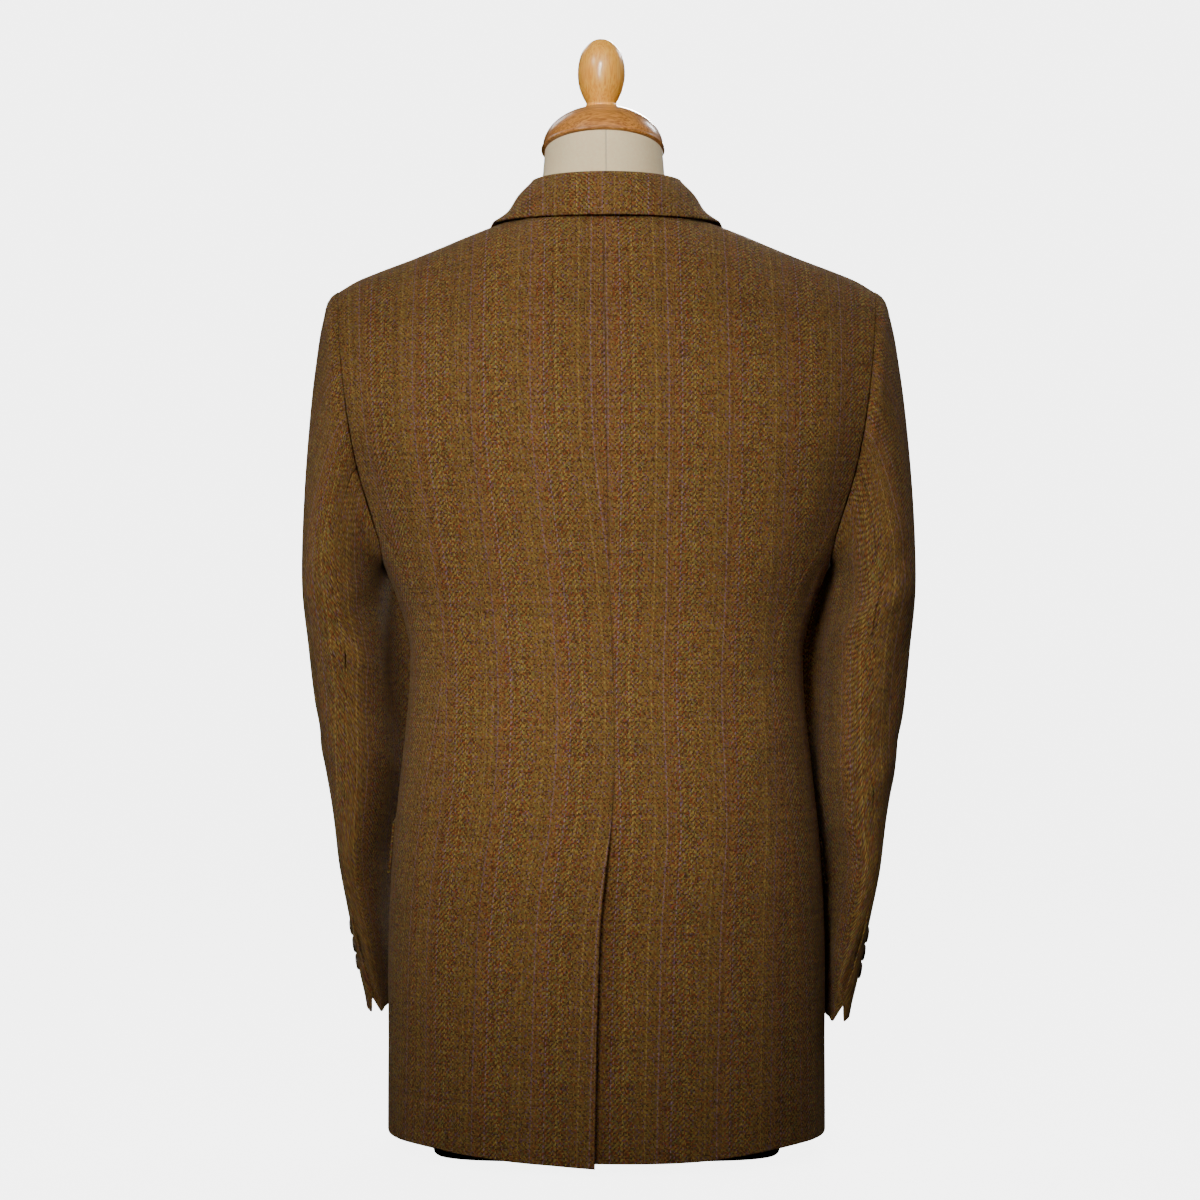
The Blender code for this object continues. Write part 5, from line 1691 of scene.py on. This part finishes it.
def linen_material():
    made, tree, shader = new_material("linen_cover")
    place = object_place(tree)
    x, _, z = separated(tree, place)
    waves = [maths(tree, "SINE", times(tree, metres, math.tau / LINEN_THREAD)) for metres in (x, z)]
    weave = times(tree, *waves)
    slub = noise(tree, place, 420.0, 3.0)
    stain = noise(tree, place, 22.0)
    from_seam = maths(tree, "ABSOLUTE", minus(tree, x, LINEN_SEAM))
    seam = minus(tree, 1.0, stepped(tree, from_seam, 0.0002, 0.0009))
    colour = mixed(tree, slub, (0.94, 0.68, 0.35), (1.0, 0.86, 0.53))
    colour = mixed(tree, times(tree, stain, 0.2), colour, (0.70, 0.53, 0.34))
    colour = mixed(tree, times(tree, seam, 0.45), colour, (0.45, 0.33, 0.22))
    set_inputs(tree, shader, {"Base Color": colour, "Roughness": 0.88, "Sheen Weight": 0.15})
    height = minus(tree, plus(tree, times(tree, weave, 0.4), slub), times(tree, seam, 2.0))
    bumped(tree, shader, height, 0.4, 0.0003)
    return made


LINEN = linen_material()
print("linen threads", LINEN_THREAD, "m apart")

# %% [markdown]
# ## Turning
# A lathe cuts a profile round an axis. A Screw modifier would do the same for one axis, but the torso isn't
# round, so one helper takes any stack of rings: a grid whose first and last column are welded, and whose
# open ends are filled.

# %% Rings of points made a closed form
def form_of(name, rings):
    """Closed form through these rings."""
    form = grid_of(name, np.concatenate((rings, rings[:, :1]), axis=1))
    bpy.ops.object.mode_set(mode="EDIT")
    bpy.ops.mesh.select_all(action="SELECT")
    bpy.ops.mesh.remove_doubles(threshold=1e-6)
    bpy.ops.mesh.select_all(action="DESELECT")
    bpy.ops.mesh.select_non_manifold()
    bpy.ops.mesh.edge_face_add()
    bpy.ops.mesh.select_all(action="SELECT")
    bpy.ops.mesh.normals_make_consistent(inside=False)
    bpy.ops.object.mode_set(mode="OBJECT")
    return form


def lay_rings(name, node, rings, finish, sharp=40):
    """Closed form through these rings, smooth but for edges sharper than this, in place of its node."""
    form = form_of(name, rings)
    bpy.ops.object.shade_smooth_by_angle(angle=math.radians(sharp))
    shown_for(form, node, finish)


def turned_rings(profile, count=72):
    """Rings of a (radius, height) profile turned round the z axis."""
    angles = np.linspace(0, math.tau, count, endpoint=False)
    return np.array([[(r * math.cos(a), r * math.sin(a), z) for a in angles] for r, z in profile])


def rounded(profile, between):
    """The same profile with this many steps between its points, on a smooth curve."""
    net = np.array(profile)[:, None, :]
    at = knots(net)
    spans = [np.linspace(a, b, between, endpoint=False) for a, b in zip(at[:-1], at[1:])]
    return along(net, np.concatenate(spans + [at[-1:]]))[:, 0]

# %% [markdown]
# ## Knob and cap
# The knob is an egg on a narrow neck, and the cap a low dome that closes the form's neck. The cap sits
# tilted, higher behind, as the neck itself leans forward.

# %% Knob
FORM_X = 0.0025
KNOB_X = 0.0045
KNOB_FOOT = ((0.0, 0.9079), (0.0131, 0.9079), (0.0136, 0.9082), (0.0137, 0.9087), (0.0134, 0.9098))
KNOB_BODY = (  # radius, height
    (0.0130, 0.9105),
    (0.0138, 0.9122),
    (0.0149, 0.9140),
    (0.0166, 0.9175),
    (0.0192, 0.9245),
    (0.0205, 0.9325),
    (0.0205, 0.9410),
    (0.0192, 0.9490),
    (0.0166, 0.9560),
    (0.0140, 0.9595),
    (0.0105, 0.9632),
    (0.0055, 0.9662),
    (0.0000, 0.9672),
)
knob_profile = np.concatenate((KNOB_FOOT, rounded(KNOB_BODY, 5)))
knob_rings = turned_rings(knob_profile) + np.array((KNOB_X, 0, 0))
lay_rings("turned_knob", "knob", knob_rings, KNOB_WOOD)

# %% Cap
CAP_CENTRE = (0.0030, 0.8685)  # x, and height of the rim's middle
CAP_TILT = math.radians(13.5)
CAP_HEIGHT = 0.0380
CAP_RIM = ((0.0, 0.0), (0.0519, 0.0), (0.0531, 0.0003), (0.0540, 0.0012), (0.0540, 0.0021), (0.0534, 0.0030))
DOME_RADIUS, DOME_FOOT = 0.0528, 0.0036
DOME_DEGREES = (0, 4, 9, 14, 21, 28, 35, 42, 49, 56, 63, 70, 76, 82)
dome = tuple(
    (DOME_RADIUS * math.cos(angle), DOME_FOOT + (CAP_HEIGHT - DOME_FOOT) * math.sin(angle))
    for angle in np.radians(DOME_DEGREES)
)
cap_rings = turned_rings(CAP_RIM + dome + ((0.0, CAP_HEIGHT),), 96)
cosine, sine = math.cos(CAP_TILT), math.sin(CAP_TILT)
tilt = np.array(((1, 0, 0), (0, cosine, -sine), (0, sine, cosine)))
cap_rings = cap_rings @ tilt.T + np.array((CAP_CENTRE[0], 0.0, CAP_CENTRE[1]))
lay_rings("turned_cap", "neck_cap", cap_rings, CAP_WOOD, 25)

# %% [markdown]
# ## Torso and board
# Of the torso only the neck shows, but it carries the jacket, so it is whole, from a table of rings like
# the body's. The board is a flat oblong with rounded edges, which keeps the form upright.

# %% Torso
TORSO = smooth_table(
    "height half_width back front power",
    (
        (0.0183, 0.150, 0.1000, 0.0980, 2.4),
        (0.0300, 0.164, 0.1120, 0.1100, 2.4),
        (0.1000, 0.172, 0.1220, 0.1180, 2.4),
        (0.2000, 0.171, 0.1200, 0.1180, 2.4),
        (0.3000, 0.163, 0.1110, 0.1120, 2.3),
        (0.3800, 0.152, 0.0990, 0.1080, 2.3),
        (0.4250, 0.150, 0.0960, 0.1070, 2.3),
        (0.4800, 0.160, 0.1000, 0.1100, 2.3),
        (0.5300, 0.176, 0.1060, 0.1140, 2.3),
        (0.5800, 0.189, 0.1100, 0.1150, 2.2),
        (0.6200, 0.197, 0.1110, 0.1110, 2.1),
        (0.6600, 0.202, 0.1040, 0.1000, 2.0),
        (0.7000, 0.203, 0.0890, 0.0830, 2.0),
        (0.7250, 0.196, 0.0740, 0.0660, 2.0),
        (0.7450, 0.178, 0.0600, 0.0520, 2.0),
        (0.7620, 0.148, 0.0510, 0.0450, 2.0),
        (0.7780, 0.108, 0.0470, 0.0420, 2.0),
        (0.7900, 0.079, 0.0480, 0.0420, 2.0),
        (0.8050, 0.062, 0.0510, 0.0440, 2.0),
        (0.8250, 0.056, 0.0520, 0.0480, 2.0),
        (0.8500, 0.053, 0.0520, 0.0500, 2.0),
        (0.8677, 0.0515, 0.0515, 0.0505, 2.0),
    ),
)


def torso_ring(height):
    """Ring of the torso, tilted with the cap where the neck starts."""
    ring = []
    for angle in np.linspace(0, math.tau, 96, endpoint=False):
        deep = TORSO["back"](height) if math.sin(angle) > 0 else TORSO["front"](height)
        x, y = oval(angle, TORSO["half_width"](height), deep, 2 / TORSO["power"](height))
        ring.append((FORM_X + x, y, height + y * math.tan(CAP_TILT) * ease((height - 0.80) / 0.06)))
    return ring


TORSO_FOOT, TORSO_TURN, TORSO_TOP = 0.0183, 0.70, 0.8677  # heights: the rings are closer above the turn
torso_heights = np.concatenate(
    (np.linspace(TORSO_FOOT, TORSO_TURN, 70), np.linspace(TORSO_TURN, TORSO_TOP, 50)[1:])
)
torso_rings = np.array([torso_ring(height) for height in torso_heights])
lay_rings("linen_torso", "torso", torso_rings, LINEN)

# %% Board
BOARD = (0.150, 0.078)  # half width and half depth
BOARD_POWER = 0.45  # of its outline, nearly a rectangle
BOARD_LEVELS = (  # height, and how far the edge is drawn in there
    (0.0, 0.003),
    (0.0004, 0.0014),
    (0.0014, 0.0004),
    (0.003, 0.0),
    (0.015, 0.0),
    (0.0166, 0.0004),
    (0.0176, 0.0014),
    (0.018, 0.003),
)


def board_ring(height, inset):
    angles = np.linspace(0, math.tau, 120, endpoint=False)
    return [(*oval(angle, BOARD[0] - inset, BOARD[1] - inset, BOARD_POWER), height) for angle in angles]


board_rings = np.array([board_ring(*level) for level in BOARD_LEVELS])
lay_rings("wooden_board", "base_board", board_rings, CAP_WOOD, 30)

# %% [markdown]
# ## Horn and thread
# Horn is brown, cloudy and polished by wear, so its colour is noise between two browns and a thin coat
# takes the light. The thread's colour and relief are one fine noise, which reads as its twist.

# %% Horn and thread
HORN_DARK, HORN_LIGHT = (0.030, 0.012, 0.005), (0.150, 0.065, 0.022)


def horn_material():
    made, tree, shader = new_material("horn_button")
    cloud = noise(tree, object_place(tree), 130.0, 3.0, 0.6)
    looks = {
        "Base Color": mixed(tree, stepped(tree, cloud, 0.35, 0.68), HORN_DARK, HORN_LIGHT),
        "Roughness": plus(tree, 0.24, times(tree, cloud, 0.2)),
        "Coat Weight": 0.3,
    }
    set_inputs(tree, shader, looks)
    return made


def thread_material(name, first, second):
    made, tree, shader = new_material(name)
    twist = noise(tree, object_place(tree), 1500.0)
    set_inputs(tree, shader, {"Base Color": mixed(tree, twist, first, second), "Roughness": 0.6})
    bumped(tree, shader, twist, 0.5, 0.0002)
    return made


HORN = horn_material()
THREAD = thread_material("brown_thread", (0.09, 0.042, 0.014), (0.20, 0.105, 0.035))
print("horn and brown thread")

# %% [markdown]
# ## Buttons
# The front closes with three horn buttons and each cuff has three small ones: a flat disc with a raised rim
# and four holes. One pattern button of radius 1 is turned and drilled at the origin, and every button of
# the jacket is a copy of it, at its own size and place.

# %% The pattern button
BUTTON_THICK = 0.305  # shares of the button's radius, as all its sizes are
DRILL_OFF, DRILL_RADIUS = 0.19, 0.10
BUTTON_PROFILE = (  # radius, and height as a share of the thickness
    (0.0, 0.0),
    (0.86, 0.0),
    (0.93, 0.06),
    (0.985, 0.22),
    (1.0, 0.45),
    (0.985, 0.72),
    (0.94, 0.90),
    (0.88, 0.985),
    (0.82, 1.0),
    (0.76, 0.965),
    (0.70, 0.85),
    (0.64, 0.76),
    (0.55, 0.72),
    (0.0, 0.68),
)


def drill(button, x, y):
    """Hole straight through the button."""
    size = {"vertices": 14, "radius": DRILL_RADIUS, "depth": 2 * BUTTON_THICK}
    bpy.ops.mesh.primitive_cylinder_add(**size, location=(x, y, BUTTON_THICK))
    bit = bpy.context.object
    hole = button.modifiers.new("hole", "BOOLEAN")
    hole.object = bit
    hole.operation = "DIFFERENCE"
    hole.solver = "EXACT"
    bit.select_set(False)
    bpy.context.view_layer.objects.active = button
    bpy.ops.object.modifier_apply(modifier="hole")
    bpy.data.objects.remove(bit)


def shape_button():
    """Button of radius 1 with its back on z = 0."""
    button = form_of("pattern_button", turned_rings([(r, z * BUTTON_THICK) for r, z in BUTTON_PROFILE], 48))
    for x in (-DRILL_OFF, DRILL_OFF):
        for y in (-DRILL_OFF, DRILL_OFF):
            drill(button, x, y)
    button.select_set(True)
    bpy.ops.object.shade_smooth_by_angle(angle=math.radians(35))
    button.select_set(False)
    return button


button_pattern = shape_button()
print("pattern button:", len(button_pattern.data.polygons), "faces")

# %% [markdown]
# ## Crossed thread
# Two pairs of strands cross between the holes, the second pair over the first. Each is a thin cylinder,
# cut into short lengths and bent down at its ends into the holes.

# %% Crossed thread
STRAND_LENGTH, STRAND_RADIUS, STRAND_ASIDE = 0.56, 0.038, 0.035
STRAND_PAIRS = ((45, 0.03), (135, 0.08))  # degrees, and how far above the button's middle
STRAND_SEAT = 0.74  # height of the button's middle, as a share of its thickness
STRAND_SINK = 0.6  # how deep a strand's ends sink, as a share of it too


def bent_strand(angle, aside, high):
    """Strand across the middle, sunk at its ends."""
    size = {"vertices": 8, "radius": STRAND_RADIUS, "depth": STRAND_LENGTH}
    bpy.ops.mesh.primitive_cylinder_add(**size, location=(0, 0, 0))
    strand = bpy.context.object
    bpy.ops.object.mode_set(mode="EDIT")
    bpy.ops.mesh.select_all(action="SELECT")
    bpy.ops.mesh.subdivide(number_cuts=3)
    bpy.ops.object.mode_set(mode="OBJECT")
    for vertex in strand.data.vertices:
        run, x, y = vertex.co.z, vertex.co.x, vertex.co.y + aside
        sunk = STRAND_SINK * BUTTON_THICK * (2 * run / STRAND_LENGTH) ** 4
        vertex.co = (
            run * math.cos(angle) - y * math.sin(angle),
            run * math.sin(angle) + y * math.cos(angle),
            high + x - sunk,
        )
    strand.select_set(False)
    return strand


def shape_cross():
    """Crossed thread for the pattern button."""
    strands = []
    for degrees, above in STRAND_PAIRS:
        for aside in (-STRAND_ASIDE, STRAND_ASIDE):
            strands.append(bent_strand(math.radians(degrees), aside, STRAND_SEAT * BUTTON_THICK + above))
    for strand in strands:
        strand.select_set(True)
    bpy.context.view_layer.objects.active = strands[0]
    bpy.ops.object.join()
    cross = bpy.context.object
    bpy.ops.object.shade_smooth()
    cross.select_set(False)
    return cross


cross_pattern = shape_cross()
print("crossed thread:", len(cross_pattern.data.polygons), "faces")

# %% [markdown]
# ## Buttonholes
# A worked buttonhole is a slit with thread wound round its edge. A thin torus, pulled long, gives that
# raised rim without cutting the cloth.

# %% Buttonhole
HOLE_LENGTH = 0.023
RIM_RADIUS, RIM_THICK = 0.0009, 0.0005


def shape_hole():
    """Worked buttonhole: a narrow loop of thread, its longer way along X."""
    bpy.ops.mesh.primitive_torus_add(
        major_segments=28,
        minor_segments=8,
        major_radius=RIM_RADIUS,
        minor_radius=RIM_THICK,
        location=(0, 0, 0),
    )
    hole = bpy.context.object
    ends = HOLE_LENGTH / 2 - RIM_RADIUS - RIM_THICK
    for vertex in hole.data.vertices:
        vertex.co.x += math.copysign(ends, vertex.co.x)
    bpy.ops.object.shade_smooth()
    hole.select_set(False)
    return hole


hole_pattern = shape_hole()
print("buttonhole", HOLE_LENGTH, "m long")

# %% [markdown]
# ## Sewing on
# The front buttons lie on the left front, each at the end of its hole. The cuff buttons stand in a row
# along the sleeve's outer seam edge. Each copy keeps its place in its own mesh, with its object at the
# origin.

# %% Sew the buttons on
CUFF_BUTTON_SHARES = (0.815, 0.857, 0.899)  # of the way down the plain part of the sleeve
CUFF_BUTTON_ANGLE = 27.0  # degrees round the sleeve's ring
HOLE_AT = 0.0085  # from the centre line to the middle of a buttonhole


def cuff_button_seat(side, share):
    """Point on the sleeve's outer face and the normal there."""
    height = SLEEVE_TOP_RING + (CUFF - SLEEVE_TOP_RING) * share
    degrees = CUFF_BUTTON_ANGLE - SLEEVE_DRIFT["degrees"](height)
    step = 2.0
    around = tube_point(side, degrees + step, share) - tube_point(side, degrees - step, share)
    down = tube_point(side, degrees, share + 0.01) - tube_point(side, degrees, share - 0.01)
    return tube_point(side, degrees, share), unit(np.cross(down, around))


def sewn_on(pattern, name, radius, centre, normal, finish, node=None):
    """Copy of a pattern piece at its place, with its place in its mesh."""
    copy = pattern.copy()
    copy.data = pattern.data.copy()
    bpy.context.collection.objects.link(copy)
    copy.name = copy.data.name = name
    turn = Vector(normal).to_track_quat("Z", "Y").to_matrix().to_4x4()
    copy.data.transform(Matrix.Translation(Vector(centre)) @ turn @ Matrix.Scale(radius, 4))
    copy.data.materials.clear()
    copy.data.materials.append(finish)
    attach(copy, "root")
    if node:
        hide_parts(node)


for number, height in enumerate(BUTTON_HEIGHTS, 1):
    axis = outward(0.0, height, False)
    seat = front_point(0.0, height) + axis * (front_offset(LEFT, 0.0, height) + LIFT)
    sewn_on(button_pattern, f"front_horn_{number}", BUTTON_RADIUS, seat, axis, HORN, f"front_button_{number}")
    sewn_on(cross_pattern, f"front_thread_{number}", BUTTON_RADIUS, seat, axis, THREAD)
    axis = outward(HOLE_AT, height, False)
    seat = front_point(HOLE_AT, height) + axis * front_offset(LEFT, HOLE_AT, height)
    sewn_on(hole_pattern, f"front_buttonhole_{number}", 1.0, seat, axis, THREAD)
for side, word in SIDES:
    for number, share in enumerate(CUFF_BUTTON_SHARES, 1):
        seat, normal = cuff_button_seat(side, share)
        seat, axis = mirrored(seat + normal * LIFT, side), mirrored(normal, side)
        name, radius = f"{word}_{number}", CUFF_BUTTON_RADIUS
        sewn_on(button_pattern, f"cuff_horn_{name}", radius, seat, axis, HORN, f"cuff_button_{name}")
        sewn_on(cross_pattern, f"cuff_thread_{name}", radius, seat, axis, THREAD)
for pattern in (button_pattern, cross_pattern, hole_pattern):
    bpy.data.objects.remove(pattern)
print(len(BUTTON_HEIGHTS) + 2 * len(CUFF_BUTTON_SHARES), "buttons")
